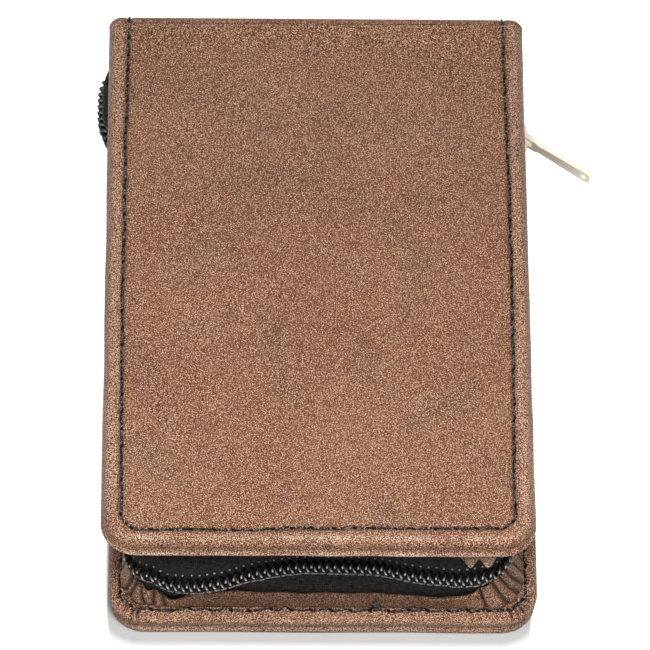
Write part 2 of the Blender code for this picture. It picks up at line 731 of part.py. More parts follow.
def band(name, place, floor, spans, top):
    """An elastic band sewn down beside each tool and lifted over it.

    Each span is a tool's left side, right side and height; the band crosses with its middle line
    a clearance above the tool and comes down to short sewn stretches between them.
    """
    middle = BAND_THICKNESS / 2
    line = []
    for index, (left, right, height) in enumerate(spans):
        rise = height + BAND_CLEARANCE
        sewn_left = left - BAND_SLANT
        sewn_right = right + BAND_SLANT
        if index:
            previous = spans[index - 1][1]
            if left - previous < (BAND_SLANT + BAND_SEAM) * 2:
                centre = (previous + left) / 2
                line[-2:] = [(centre - BAND_SHARED_SEAM / 2, middle)]
                sewn_left = centre + BAND_SHARED_SEAM / 2
                line += [(sewn_left, middle)]
            else:
                line += [(sewn_left, middle)]
        else:
            line += [(sewn_left - BAND_SEAM, middle), (sewn_left, middle)]
        line += [(left - BAND_CLEARANCE, rise), (right + BAND_CLEARANCE, rise)]
        line += [(sewn_right, middle), (sewn_right + BAND_SEAM, middle)]
    outline = ribbon(rounded(line, BAND_BEND, closed=False, steps=2), BAND_THICKNESS)
    if top:
        outline = [(x, floor - z) for x, z in outline]
    else:
        outline = [(x, floor + z) for x, z in outline]
    half = BAND_WIDTH / 2
    flat_piece(name, [outline], -place - half, -place + half, BLACK_ELASTIC, turn=ALONG)


def scissors():
    """Nail scissors: two flat halves that cross at a slotted screw."""
    frame = frame_at("scissors_frame", (SCISSORS_X, SCISSORS_Y, TOOL_BED))
    ring_y = -HANDLE_LENGTH + LOOP_LENGTH
    half_blade = BLADE_WIDTH / 2
    outer = arc((LOOP_SIDE, ring_y), (LOOP_WIDTH, LOOP_LENGTH), 137, 447, 30)
    shank_in = LOOP_SIDE - LOOP_WIDTH + SHANK_WIDTH * 0.7
    shank_y = ring_y + LOOP_LENGTH * 1.5
    outline = [
        (half_blade * 0.1, BLADE_LENGTH),
        (-half_blade * 1.1, BLADE_LENGTH * 0.7),
        (-BLADE_WIDTH, BLADE_LENGTH * 0.25),
        (-BLADE_WIDTH, -half_blade),
        (-half_blade, -BLADE_WIDTH * 2),
        (shank_in, shank_y),
    ]
    back = [
        (shank_in + SHANK_WIDTH, shank_y),
        (BLADE_WIDTH, -BLADE_WIDTH * 2),
        (BLADE_WIDTH, half_blade),
        (half_blade * 0.5, BLADE_WIDTH * 1.5),
    ]
    body = rounded(outline, half_blade, False) + outer + rounded(back, half_blade, False)
    hole = arc(
        (LOOP_SIDE, ring_y), (LOOP_WIDTH - LOOP_WALL, LOOP_LENGTH - LOOP_WALL), 0, 345, 23
    )
    shank_hole = SCREW_RADIUS + PIN_CLEARANCE
    pivot = arc((0.0, 0.0), (shank_hole, shank_hole), 0, 345, 15)
    level = 0.0
    for name, side in (("scissors_half_a", -1.0), ("scissors_half_b", 1.0)):
        loops = [[(x * side, y) for x, y in loop] for loop in (body, hole, pivot)]
        half = flat_piece(name, loops, level, level + SCISSORS_PLATE, TOOL_STEEL)
        half.parent = frame
        level += SCISSORS_PLATE + CONTACT_GAP
    screw = rod(
        "scissors_screw", (0.0, 0.0), SCREW_RADIUS, CONTACT_GAP, level + SCREW_HEAD / 2, collection=CASE
    )
    head = rod("screw_head", (0.0, 0.0), SCREW_HEAD_RADIUS, level, level + SCREW_HEAD)
    slot_low = level + SCREW_HEAD / 2
    reach = SCREW_HEAD_RADIUS + CONTACT_GAP
    slot = box(
        "screw_slot",
        (-reach, -SCREW_SLOT / 2, slot_low),
        (reach, SCREW_SLOT / 2, level + SCREW_HEAD + CONTACT_GAP),
    )
    for part in (screw, head, slot):
        part.parent = frame
    cut_with(screw, head, "UNION")
    cut_with(screw, slot)


def side_plate(name, line, plate, plan, width, frame, material=TOOL_STEEL):
    """A bent plate: a side profile carried across the tool, trimmed to its plan."""
    half = width / 2 + CONTACT_GAP
    piece = flat_piece(name, [ribbon(line, plate)], -half, half, material, turn=ACROSS)
    heights = [point[1] for point in line]
    low = min(heights) - plate * 2
    high = max(heights) + plate * 2
    trimmer = flat_piece(name + "_plan", [plan], low, high, material, CUTTERS)
    for part in (piece, trimmer):
        part.parent = frame
    cut_with(piece, trimmer, "INTERSECT")
    return piece


def clipper(prefix, place, turn, length, width, plate, rise):
    """Nail clipper: two arms joined by a rivet, a pin through both and a lever on the pin.

    The tail is at the tool's origin and the jaws at its length; rise is the height of the upper
    arm's top at the pin.
    """
    frame = frame_at(prefix + "_frame", place, turn)
    half = width / 2
    pin_y = length * 0.86
    rivet_y = length * 0.06
    middle = plate / 2
    jaw = rise * 0.5
    jaw_gap = rise * 0.24
    upper = plate * 1.5 + CONTACT_GAP
    arm_plan = rounded(
        [(-half, length), (-half, 0.0), (half, 0.0), (half, length)], half * 0.5
    )
    low_line = [
        (0.0, middle),
        (length * 0.82, middle),
        (length * 0.95, jaw * 0.45),
        (length - plate / 2, jaw - jaw_gap / 2 - plate * 0.4),
    ]
    high_line = [
        (0.0, upper),
        (length * 0.1, upper),
        (length * 0.82, rise - middle),
        (length * 0.92, rise - middle),
        (length - plate / 2, jaw + jaw_gap / 2 + plate * 0.4),
    ]
    lower = side_plate(
        prefix + "_lower_arm", rounded(low_line, length * 0.05, False), plate, arm_plan, width, frame
    )
    top = side_plate(
        prefix + "_upper_arm", rounded(high_line, length * 0.05, False), plate, arm_plan, width, frame
    )
    lever_low = rise + CONTACT_GAP
    lever_line = [
        (pin_y + plate * 2.5, lever_low + middle),
        (pin_y - plate * 2.5, lever_low + middle),
        (length * 0.5, lever_low + plate),
        (length * 0.08, lever_low + plate * 1.3),
    ]
    nose = half * 0.55
    tail = half * 0.75
    lever_plan = rounded(
        [
            (-nose, pin_y + plate * 3),
            (-nose, length * 0.7),
            (-tail, length * 0.06),
            (tail, length * 0.06),
            (nose, length * 0.7),
            (nose, pin_y + plate * 3),
        ],
        nose * 0.8,
    )
    lever = side_plate(
        prefix + "_lever", rounded(lever_line, length * 0.05, False), plate, lever_plan, width, frame
    )
    pin_radius = plate * 0.85
    pin_top = lever_low + plate + CONTACT_GAP
    pin = rod(
        prefix + "_pin", (0.0, pin_y), pin_radius, CONTACT_GAP, pin_top, collection=CASE, sides=16
    )
    rivet_top = plate * 2 + CONTACT_GAP
    rivet = rod(
        prefix + "_rivet", (0.0, rivet_y), pin_radius, CONTACT_GAP, rivet_top, collection=CASE, sides=16
    )
    pin.parent = frame
    rivet.parent = frame
    reach = rise * 2
    for spot, pieces in ((pin_y, (lower, top, lever)), (rivet_y, (lower, top))):
        tag = "pin" if spot == pin_y else "rivet"
        hole = rod(
            prefix + "_" + tag + "_hole",
            (0.0, spot),
            pin_radius + PIN_CLEARANCE,
            -reach,
            reach,
            sides=16,
        )
        hole.parent = frame
        for piece in pieces:
            cut_with(piece, hole)


def tweezers():
    """Two bowed arms that meet at the tail, with slanted narrow tips towards the spine."""
    place = (TWEEZERS_X, TOOL_FRONT, CASE_HEIGHT - TOOL_BED)
    frame = frame_at("tweezers_frame", place, (0.0, math.radians(180), 0.0))
    middle = TWEEZERS_HEIGHT / 2
    half_plate = TWEEZERS_PLATE / 2
    tail = half_plate + CONTACT_GAP / 2
    bow = middle - half_plate
    tip = TWEEZERS_TIP_GAP / 2 + half_plate
    half = TWEEZERS_WIDTH / 2
    end = TWEEZERS_TIP / 2
    plan = [
        (-half * 0.7, 0.0),
        (half * 0.7, 0.0),
        (half, TWEEZERS_LENGTH * 0.3),
        (half, TWEEZERS_LENGTH * 0.55),
        (end, TWEEZERS_LENGTH),
        (-end, TWEEZERS_LENGTH),
        (-half, TWEEZERS_LENGTH * 0.55),
        (-half, TWEEZERS_LENGTH * 0.3),
    ]
    shares = ((0.0, tail), (0.08, tail), (0.4, bow), (0.62, bow), (1.0, tip))
    for name, side in (("tweezers_arm_a", -1.0), ("tweezers_arm_b", 1.0)):
        line = [(TWEEZERS_LENGTH * share, middle + side * reach) for share, reach in shares]
        side_plate(
            name,
            rounded(line, TWEEZERS_LENGTH * 0.12, False),
            TWEEZERS_PLATE,
            rounded(plan, half * 0.5),
            TWEEZERS_WIDTH,
            frame,
        )


def nail_file():
    """Steel file blade with its tang in a slotted plastic grip."""
    place = (FILE_X, TOOL_FRONT, CASE_HEIGHT - TOOL_BED)
    frame = frame_at("file_frame", place, (0.0, math.radians(180), 0.0))
    half = FILE_WIDTH / 2
    tang = FILE_TANG_WIDTH / 2
    middle = FILE_GRIP_HEIGHT / 2
    shoulder = FILE_GRIP_LENGTH + CONTACT_GAP
    start = FILE_GRIP_LENGTH - FILE_TANG_LENGTH
    outline = [
        (-tang, start),
        (tang, start),
        (tang, shoulder),
        (half, shoulder + tang),
        (half, FILE_LENGTH * 0.9),
        (0.0, FILE_LENGTH),
        (-half, FILE_LENGTH * 0.9),
        (-half, shoulder + tang),
        (-tang, shoulder),
    ]
    blade = flat_piece(
        "nail_file_blade",
        [rounded(outline, tang / 2)],
        middle - FILE_PLATE / 2,
        middle + FILE_PLATE / 2,
        FILE_GRIT,
    )
    plan = [(-half, 0.0), (half, 0.0), (half, FILE_GRIP_LENGTH), (-half, FILE_GRIP_LENGTH)]
    grip = flat_piece(
        "nail_file_grip", [rounded(plan, half * 0.8)], 0.0, FILE_GRIP_HEIGHT, GRIP_PLASTIC
    )
    soft = grip.modifiers.new("soft_edges", "BEVEL")
    soft.width = FILE_GRIP_HEIGHT / 4
    soft.segments = 2
    soft.angle_limit = SHARP_ANGLE
    slot = box(
        "file_slot",
        (-tang - CONTACT_GAP, start - CONTACT_GAP, middle - FILE_PLATE / 2 - CONTACT_GAP),
        (tang + CONTACT_GAP, FILE_GRIP_LENGTH + CUT_OVERRUN, middle + FILE_PLATE / 2 + CONTACT_GAP),
    )
    for part in (blade, grip, slot):
        part.parent = frame
    cut_with(grip, slot)


def cuticle_pusher():
    """A turned steel rod with grip rings, a spade at one end and a blunt point at the other."""
    place = (PUSHER_X, TOOL_FRONT, CASE_HEIGHT - TOOL_BED - PUSHER_SPADE)
    radius = PUSHER_RADIUS
    neck = radius * 0.7
    spade_start = PUSHER_LENGTH - PUSHER_SPADE_LENGTH
    profile = [(0.0, PUSHER_LENGTH), (PUSHER_SPADE * 0.7, PUSHER_LENGTH - PUSHER_SPADE / 2)]
    profile += [(PUSHER_SPADE, PUSHER_LENGTH - PUSHER_SPADE), (neck, spade_start)]
    profile += [(neck, spade_start - radius), (radius, spade_start - radius * 4)]
    ring_share = 0.35
    for index in range(6):
        base = PUSHER_LENGTH * ring_share + index * radius
        profile.insert(6, (radius, base))
        profile.insert(6, (radius - PUSHER_RING, base + radius * 0.25))
        profile.insert(6, (radius - PUSHER_RING, base + radius * 0.5))
        profile.insert(6, (radius, base + radius * 0.75))
    profile += [(radius, PUSHER_POINT_LENGTH * 1.5), (neck, PUSHER_POINT_LENGTH)]
    profile += [(PUSHER_POINT, PUSHER_POINT), (0.0, 0.0)]
    shape = bmesh.new()
    dots = [shape.verts.new((x, 0.0, z)) for x, z in profile]
    for first, second in zip(dots[:-1], dots[1:]):
        shape.edges.new((first, second))
    pusher = add_mesh("cuticle_pusher", shape, TOOL_STEEL)
    turned = pusher.modifiers.new("turned", "SCREW")
    turned.steps = 16
    turned.render_steps = 16
    turned.use_merge_vertices = True
    turned.merge_threshold = CONTACT_GAP / 100
    pusher.location = place
    pusher.rotation_euler = (math.radians(-90), 0.0, 0.0)
    half = PUSHER_SPADE_PLATE / 2
    reach = PUSHER_SPADE * 2
    end = PUSHER_LENGTH + CUT_OVERRUN
    for name, low, high in (("spade_top", half, reach), ("spade_bottom", -reach, -half)):
        slab = box(name, (-reach, low, spade_start + radius), (reach, high, end))
        slab.parent = pusher
        cut_with(pusher, slab)


cover("back", top=False)
cover("front", top=True)
spine()
side_strip("lower", top=False)
side_strip("upper", top=True)
zip_pull(zip_slider())
scissors()
clipper(
    "large_clipper",
    (LARGE_CLIPPER_X, LARGE_CLIPPER_Y, TOOL_BED),
    (0.0, 0.0, 0.0),
    LARGE_CLIPPER_LENGTH,
    LARGE_CLIPPER_WIDTH,
    LARGE_CLIPPER_PLATE,
    LARGE_CLIPPER_RISE,
)
clipper(
    "small_clipper",
    (SMALL_CLIPPER_X, SMALL_CLIPPER_Y, CASE_HEIGHT - TOOL_BED),
    (0.0, math.radians(180), 0.0),
    SMALL_CLIPPER_LENGTH,
    SMALL_CLIPPER_WIDTH,
    SMALL_CLIPPER_PLATE,
    SMALL_CLIPPER_RISE,
)
tweezers()
nail_file()
cuticle_pusher()


def clipper_height(plate, rise):
    """Overall height of a clipper with its lever laid flat."""
    return rise + CONTACT_GAP + plate * 2


def spread(centre, half, height):
    """One tool's span under a band."""
    return (centre - half, centre + half, height)


SCISSORS_STACK = SCISSORS_PLATE * 2 + CONTACT_GAP
LARGE_SPAN = spread(
    LARGE_CLIPPER_X, LARGE_CLIPPER_WIDTH / 2, clipper_height(LARGE_CLIPPER_PLATE, LARGE_CLIPPER_RISE)
)
SMALL_SPAN = spread(
    SMALL_CLIPPER_X, SMALL_CLIPPER_WIDTH / 2, clipper_height(SMALL_CLIPPER_PLATE, SMALL_CLIPPER_RISE)
)
THIN_TOOL_SPANS = (
    spread(TWEEZERS_X, TWEEZERS_WIDTH / 2, TWEEZERS_HEIGHT),
    spread(FILE_X, FILE_WIDTH / 2, FILE_GRIP_HEIGHT),
    spread(PUSHER_X, PUSHER_RADIUS, PUSHER_SPADE + PUSHER_RADIUS),
)
BLADE_SPAN = spread(SCISSORS_X, BLADE_WIDTH + SCISSORS_OPENING / 2, SCISSORS_STACK)
SHANK_SPAN = spread(SCISSORS_X, LOOP_SIDE - LOOP_WIDTH + SHANK_WIDTH * 2 + SCISSORS_OPENING, SCISSORS_STACK)
band("base_elastic_upper", BASE_UPPER_BAND_Y, TOOL_BED, (BLADE_SPAN, LARGE_SPAN), False)
band("base_elastic_lower", BASE_LOWER_BAND_Y, TOOL_BED, (SHANK_SPAN,), False)
band("cover_elastic_upper", COVER_UPPER_BAND_Y, CASE_HEIGHT - TOOL_BED, (SMALL_SPAN, *THIN_TOOL_SPANS), True)
band("cover_elastic_lower", COVER_LOWER_BAND_Y, CASE_HEIGHT - TOOL_BED, THIN_TOOL_SPANS, True)
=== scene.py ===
# %% [markdown]
# # A closed zip case for nail tools
#
# The real object is a slim leatherette case that opens like a book, lying closed on a white table.
# The imported model is loaded first. It is the frame: every new piece is worked out in its metres, and
# all but the spine's leather and its seams ride on one of its bodies, so that the case still opens and its
# zip still slides.

# %% The frame
import json

import bmesh
import bpy
import numpy as np
from mathutils import Matrix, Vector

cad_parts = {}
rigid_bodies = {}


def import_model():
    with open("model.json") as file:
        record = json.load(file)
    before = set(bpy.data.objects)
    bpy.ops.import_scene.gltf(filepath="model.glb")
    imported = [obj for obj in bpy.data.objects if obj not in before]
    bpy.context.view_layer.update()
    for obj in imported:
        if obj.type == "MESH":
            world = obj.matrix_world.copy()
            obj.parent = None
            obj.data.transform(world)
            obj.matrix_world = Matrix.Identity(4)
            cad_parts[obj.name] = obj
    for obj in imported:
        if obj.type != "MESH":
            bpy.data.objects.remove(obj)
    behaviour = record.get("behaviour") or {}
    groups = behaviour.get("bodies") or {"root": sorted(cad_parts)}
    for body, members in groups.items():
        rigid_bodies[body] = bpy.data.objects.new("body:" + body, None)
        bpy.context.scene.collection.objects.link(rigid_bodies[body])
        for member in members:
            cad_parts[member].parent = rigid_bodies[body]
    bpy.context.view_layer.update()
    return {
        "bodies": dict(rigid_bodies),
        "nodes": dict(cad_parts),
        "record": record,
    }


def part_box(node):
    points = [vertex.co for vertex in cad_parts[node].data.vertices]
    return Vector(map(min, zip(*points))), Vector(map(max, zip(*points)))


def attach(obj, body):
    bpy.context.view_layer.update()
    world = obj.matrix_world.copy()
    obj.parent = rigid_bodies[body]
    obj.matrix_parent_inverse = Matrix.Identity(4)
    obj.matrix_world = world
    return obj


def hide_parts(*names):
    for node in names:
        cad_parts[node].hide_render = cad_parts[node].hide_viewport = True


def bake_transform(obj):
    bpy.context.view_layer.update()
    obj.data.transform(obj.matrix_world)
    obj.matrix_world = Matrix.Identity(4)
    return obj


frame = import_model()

MM = 0.001
print("bodies:", ", ".join(frame["bodies"]))

# %% [markdown]
# ## The camera
#
# The photograph was taken with a long lens from about 57 degrees above the table, a little from the
# left and rolled by two degrees. The angles were fitted to the edges of the covers. A camera is set
# here from three directions that stand square to each other: right, up and back.

# %% Camera
ELEVATION = np.radians(56.63)
TURN = np.radians(-1.92)
ROLL = np.radians(1.94)
CAMERA_DISTANCE = 1065.4 * MM
FOCAL_PIXELS = 5931.0
FRAME_PIXELS = 650.0
SENSOR = 36.0
LOOK_AT = np.array([1.0, -1.2, 15.0]) * MM


def aim_camera():
    """The eye stands at the target plus the back direction times the distance."""
    level = np.cos(ELEVATION)
    back = np.array([np.sin(TURN) * level, -np.cos(TURN) * level, np.sin(ELEVATION)])
    right = np.array([np.cos(TURN), np.sin(TURN), 0.0])
    up = np.cross(back, right)
    rolled_right = np.cos(ROLL) * right + np.sin(ROLL) * up
    rolled_up = np.cos(ROLL) * up - np.sin(ROLL) * right
    pose = np.eye(4)
    pose[:3] = np.column_stack((rolled_right, rolled_up, back, LOOK_AT + back * CAMERA_DISTANCE))
    lens = bpy.data.cameras.new("camera")
    lens.sensor_width = SENSOR
    lens.sensor_fit = "HORIZONTAL"
    lens.lens = FOCAL_PIXELS / FRAME_PIXELS * SENSOR
    lens.clip_end = 20.0
    camera = bpy.data.objects.new("camera", lens)
    bpy.context.scene.collection.objects.link(camera)
    camera.matrix_world = Matrix(pose.tolist())
    bpy.context.scene.camera = camera
    return lens.lens


print("lens in mm:", round(aim_camera(), 1))

# %% [markdown]
# ## From arrays to pieces
#
# Each piece is worked out as an array of points: rows one way, columns the other. Four neighbours
# make a face. Where a surface closes on itself, its last row or column repeats the first, and
# merging the doubles sews the two together. That also keeps the piece's own UV map whole, which
# counts metres along the rows and columns so that a weave follows the cloth.

# %% Grids, pieces and their finish
MERGE = 0.002 * MM


def grid_faces(rows, columns):
    """Face (i, j) joins the points (i, j), (i, j+1), (i+1, j+1) and (i+1, j)."""
    i = np.arange(rows - 1)[:, None]
    j = np.arange(columns - 1)[None, :]
    corner = i * columns + j
    return np.stack((corner, corner + 1, corner + columns + 1, corner + columns), -1).reshape(-1, 4)


def make_piece(
    name, points, material, body, uv=None, caps=False, sharp=40.0, stands_for=(), marks=None
):
    """Points of shape (rows, columns, 3), or (copies, rows, columns, 3) for a repeated shape.

    With caps the first and the last row are each filled by one face, which closes a tube.
    """
    blocks = points if points.ndim == 4 else points[None]
    copies, rows, columns, _ = blocks.shape
    one = grid_faces(rows, columns)
    starts = np.arange(copies)[:, None, None] * rows * columns
    faces = (one[None] + starts).reshape(-1, 4).tolist()
    if caps:
        ring = np.arange(columns - 1)
        first = starts[:, 0] + ring[None]
        last = starts[:, 0] + (rows - 1) * columns + ring[None, ::-1]
        faces += first.tolist() + last.tolist()
    mesh = bpy.data.meshes.new(name)
    mesh.from_pydata(blocks.reshape(-1, 3).tolist(), [], faces)
    if uv is not None:
        places = np.broadcast_to(uv, (copies, rows, columns, 2)).reshape(-1, 2)
        corner_points = np.empty(len(mesh.loops), dtype=np.int64)
        mesh.loops.foreach_get("vertex_index", corner_points)
        layer = mesh.uv_layers.new(name="UVMap")
        layer.data.foreach_set("uv", places[corner_points].astype(np.float32).ravel())
    for mark, share in (marks or {}).items():
        layer = mesh.attributes.new(mark, "FLOAT", "POINT")
        share = np.broadcast_to(share, (copies, rows, columns))
        layer.data.foreach_set("value", np.clip(share, 0.0, 1.0).astype(np.float32).ravel())
    shape = bmesh.new()
    shape.from_mesh(mesh)
    bmesh.ops.remove_doubles(shape, verts=shape.verts, dist=MERGE)
    bmesh.ops.dissolve_degenerate(shape, edges=shape.edges, dist=MERGE)
    bmesh.ops.recalc_face_normals(shape, faces=shape.faces)
    shape.to_mesh(mesh)
    shape.free()
    return place_piece(name, mesh, material, body, sharp, stands_for)


def place_piece(name, mesh, material, body, sharp, stands_for):
    """Smooth shading with crisp edges past an angle, then the piece's material and body; the frame's parts
    it stands for are hidden.
    """
    mesh.shade_smooth()
    mesh.set_sharp_from_angle(angle=np.radians(sharp))
    mesh.materials.append(material)
    piece = bpy.data.objects.new(name, mesh)
    bpy.context.scene.collection.objects.link(piece)
    if body:
        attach(piece, body)
    if stands_for:
        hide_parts(*stands_for)
    open_edges = sum(1 for count in edge_use(mesh) if count != 2)
    print(f"{name}: {len(mesh.polygons)} faces, {open_edges} open edges")
    return piece


def edge_use(mesh):
    """How many faces use each edge: two everywhere means a closed skin."""
    used = np.empty(len(mesh.loops), dtype=np.int64)
    mesh.loops.foreach_get("edge_index", used)
    return np.bincount(used, minlength=len(mesh.edges))


def unit(vectors):
    """Each vector divided by its own length."""
    return vectors / np.linalg.norm(vectors, axis=-1, keepdims=True)


def bell(value, middle, half):
    """One at the middle, falling off on both sides as exp(-t squared), t counted in halves."""
    return np.exp(-(((value - middle) / half) ** 2))


def ramp(value, start, length):
    """Nothing up to the start, one from a length further on, straight in between."""
    return np.clip((value - start) / length, 0.0, 1.0)


def smooth_line(corners, count):
    """Catmull-Rom curve: each stretch is a cubic whose ends lean along the neighbours' chord."""
    line = np.asarray(corners, dtype=float)
    padded = np.vstack((2 * line[0] - line[1], line, 2 * line[-1] - line[-2]))
    place = np.linspace(0.0, len(line) - 1 - 1e-9, count)
    k = place.astype(int)
    t = (place - k)[:, None]
    a, b, c, d = padded[k], padded[k + 1], padded[k + 2], padded[k + 3]
    return 0.5 * (2 * b + (c - a) * t + (2 * a - 5 * b + 4 * c - d) * t**2 + (3 * b - a - 3 * c + d) * t**3)


def lengths_along(line):
    """Distance of each point from the first one, measured along the line."""
    steps = np.linalg.norm(np.diff(line, axis=0), axis=1)
    return np.concatenate(([0.0], np.cumsum(steps)))


def ripple(x, y, seed, size, wave):
    """Soft unevenness: a sum of eight sine waves with random directions, lengths and starts."""
    chance = np.random.default_rng(seed)
    total = np.zeros(np.broadcast(x, y).shape)
    for _ in range(8):
        turn = chance.uniform(0.0, 2 * np.pi)
        length = wave * chance.uniform(0.7, 1.6)
        phase = chance.uniform(0.0, 2 * np.pi)
        total += np.sin((x * np.cos(turn) + y * np.sin(turn)) * 2 * np.pi / length + phase)
    return total * size / np.sqrt(8.0)


# %% [markdown]
# ## Materials
#
# A finish is a small node tree. The colour and the bump come from noise, cells or waves in the
# object's own coordinates, or in the UV map where a weave has to follow the cloth. Image files
# would be quicker but would not stay sharp, and nothing here may be read from disk.

# %% Node helpers
SOCKETS = {"specular": "Specular IOR Level", "roughness": "Roughness", "metallic": "Metallic"}


class Finish:
    """A material under construction: add nodes, link them, read coordinates."""

    def __init__(self, name, **sockets):
        self.material = bpy.data.materials.new(name)
        self.material.use_nodes = True
        self.nodes = self.material.node_tree.nodes
        self.links = self.material.node_tree.links
        self.shader = self.nodes["Principled BSDF"]
        for word, value in sockets.items():
            self.shader.inputs[SOCKETS[word]].default_value = value

    def add(self, kind, inputs=None, **settings):
        """A node of a kind, its settings, and its inputs as numbers, colours or linked sockets."""
        node = self.nodes.new("ShaderNode" + kind)
        for name, value in settings.items():
            setattr(node, name, value)
        for name, value in (inputs or {}).items():
            self.join(value, node.inputs[name])
        return node

    def join(self, value, socket):
        """Links a socket, or sets a plain number or colour."""
        if isinstance(value, bpy.types.NodeSocket):
            self.links.new(value, socket)
        else:
            socket.default_value = value

    def place(self, scale=(1.0, 1.0, 1.0), own_map=False):
        """Coordinates in metres, from the object or from the piece's own UV map, scaled."""
        source = self.add("UVMap").outputs["UV"] if own_map else self.add("TexCoord").outputs["Object"]
        return self.add("Mapping", {"Vector": source, "Scale": scale}).outputs["Vector"]

    def noise(self, size, place, detail=3.0, roughness=0.5):
        """Cloudy noise whose clouds are about one size across."""
        inputs = {"Vector": place, "Scale": 1.0 / size, "Detail": detail, "Roughness": roughness}
        return self.add("TexNoise", inputs).outputs["Fac"]

    def cells(self, size, place):
        """Distance to the middle of the nearest cell, for pores and grain."""
        return self.add("TexVoronoi", {"Vector": place, "Scale": 1.0 / size}).outputs["Distance"]

    def wave(self, size, place, direction="X"):
        """Even bands across a direction, one size apart: at scale 1 the node's bands are pi / 10 apart."""
        inputs = {"Vector": place, "Scale": np.pi / 10 / size}
        return self.add("TexWave", inputs, bands_direction=direction).outputs["Fac"]

    def mark(self, name):
        """A share that the piece carries on its points, such as edge wear with painted highlights, or
        painted shade.
        """
        return self.add("Attribute", attribute_name=name).outputs["Fac"]

    def spread(self, value, low, high, new_low=0.0, new_high=1.0):
        """Stretches a value from one range to another and clamps it."""
        inputs = {"Value": value, "From Min": low, "From Max": high, "To Min": new_low, "To Max": new_high}
        return self.add("MapRange", inputs).outputs["Result"]

    def math(self, operation, a, b=0.0):
        """One arithmetic step on numbers or sockets."""
        node = self.add("Math", operation=operation)
        self.join(a, node.inputs[0])
        self.join(b, node.inputs[1])
        return node.outputs[0]

    def over(self, value, limit):
        """How far a value is past a limit, and nothing below it."""
        return self.math("MAXIMUM", self.math("SUBTRACT", value, limit), 0.0)

    def seen(self):
        """One where the camera, a reflection or glass looks, and nothing for the light on the object."""
        rays = self.add("LightPath").outputs
        direct = self.math("MAXIMUM", rays["Is Camera Ray"], rays["Is Glossy Ray"])
        return self.math("MAXIMUM", direct, rays["Is Transmission Ray"])

    def blend(self, share, one, other):
        """Mixes two colours by a share."""
        node = self.add("Mix", data_type="RGBA")
        self.join(share, node.inputs[0])
        self.join(one, node.inputs[6])
        self.join(other, node.inputs[7])
        return node.outputs[2]

    def bump(self, height, depth, strength=1.0, under=None):
        """Bump whose height of one stands for a real depth, on top of another bump if given."""
        node = self.add("Bump", {"Height": height, "Distance": depth, "Strength": strength})
        if under is not None:
            self.links.new(under, node.inputs["Normal"])
        return node.outputs["Normal"]

    def wear(self, colour=None, roughness=None, normal=None):
        """Joins the finished colour, roughness and normal to the shader."""
        for socket, value in (("Base Color", colour), ("Roughness", roughness), ("Normal", normal)):
            if value is not None:
                self.join(value, self.shader.inputs[socket])
        return self.material


def rgb(red, green, blue):
    """A colour with full opacity, in linear light."""
    return (red, green, blue, 1.0)


print("node helpers ready")

# %% [markdown]
# ### Brown leatherette
#
# The skin is a warm rose-brown coated cloth with a very fine pebble, pale on the tops of the grain
# and dark in its pits, under large faint clouds and greyer smudges. One small noise makes the grain,
# cells cut it into pebbles, and two slow noises make the clouds and smudges. Each piece carries two
# shares on its points, because they follow its shape, which a pattern in space would miss: edge wear
# together with painted highlights, which turn edges pale, and painted shade, which darkens creases,
# grooves and walls. It is matt, so highlights are broad.

# %% Leather
def leatherette(name, shade):
    """Ground and smudges, then edge wear with painted highlights, then the grain up to pale and down to
    dark, then painted shade.
    """
    finish = Finish(name, specular=0.18)
    place = finish.place()
    pebble = finish.cells(0.29 * MM, place)
    fine = finish.noise(0.165 * MM, place, detail=0.0, roughness=0.5)
    clouds = finish.noise(24 * MM, place, detail=3.0, roughness=0.5)
    patches = finish.noise(9.0 * MM, place, detail=2.0, roughness=0.5)
    ground = finish.blend(
        finish.spread(clouds, 0.34, 0.66), rgb(0.325, 0.140, 0.074), rgb(0.405, 0.192, 0.108)
    )
    ground = finish.blend(finish.spread(patches, 0.47, 0.30, 0.0, 0.6), ground, rgb(0.225, 0.125, 0.080))
    # Edge wear and painted highlights: the piece's mark lightens the colour towards a pale rose.
    ground = finish.blend(finish.mark("wear_and_highlight"), ground, rgb(0.98, 0.72, 0.56))
    pits = finish.spread(pebble, 0.12, 0.6, 0.4, -0.4)
    grain = finish.math("ADD", finish.spread(fine, 0.36, 0.64), pits)
    pale = finish.blend(finish.spread(grain, 0.5, 1.1, 0.0, 0.95), ground, rgb(0.89, 0.60, 0.42))
    colour = finish.blend(finish.spread(grain, 0.5, -0.05, 0.0, 0.95), pale, rgb(0.075, 0.022, 0.010))
    # Painted shade: the piece's shade mark and the material's own shade darken the colour towards
    # near-black.
    dark = finish.math("ADD", finish.math("MULTIPLY", finish.mark("painted_shade"), 0.9 - shade), shade)
    colour = finish.blend(dark, colour, rgb(0.018, 0.008, 0.005))
    slow = finish.bump(patches, 0.12 * MM, 0.5)
    normal = finish.bump(grain, 0.10 * MM, 0.8, slow)
    roughness = finish.spread(fine, 0.3, 0.7, 0.64, 0.50)
    return finish.wear(colour, roughness, normal)


LEATHER = leatherette("leatherette", 0.0)
# A darker copy of the leather for the strips: painted shade, as the strips lie in shade under the covers.
SHADED_STRIP_LEATHER = leatherette("leatherette_strip_painted_shade", 0.16)
print("leather:", LEATHER.name, SHADED_STRIP_LEATHER.name)

# %% [markdown]
# ### Thread, tape, zip and elastic
#
# The thread is dark brown-black and waxed; the glints on its twist are painted as paler fibres. Tape,
# elastic and lining are woven: two sets of bands that cross, one lifted where the other dips, drawn in
# the UV map in metres so that the threads run along the cloth. The nylon of the zip is glossy black,
# with painted glints that turn the heads of its loops nearly white.

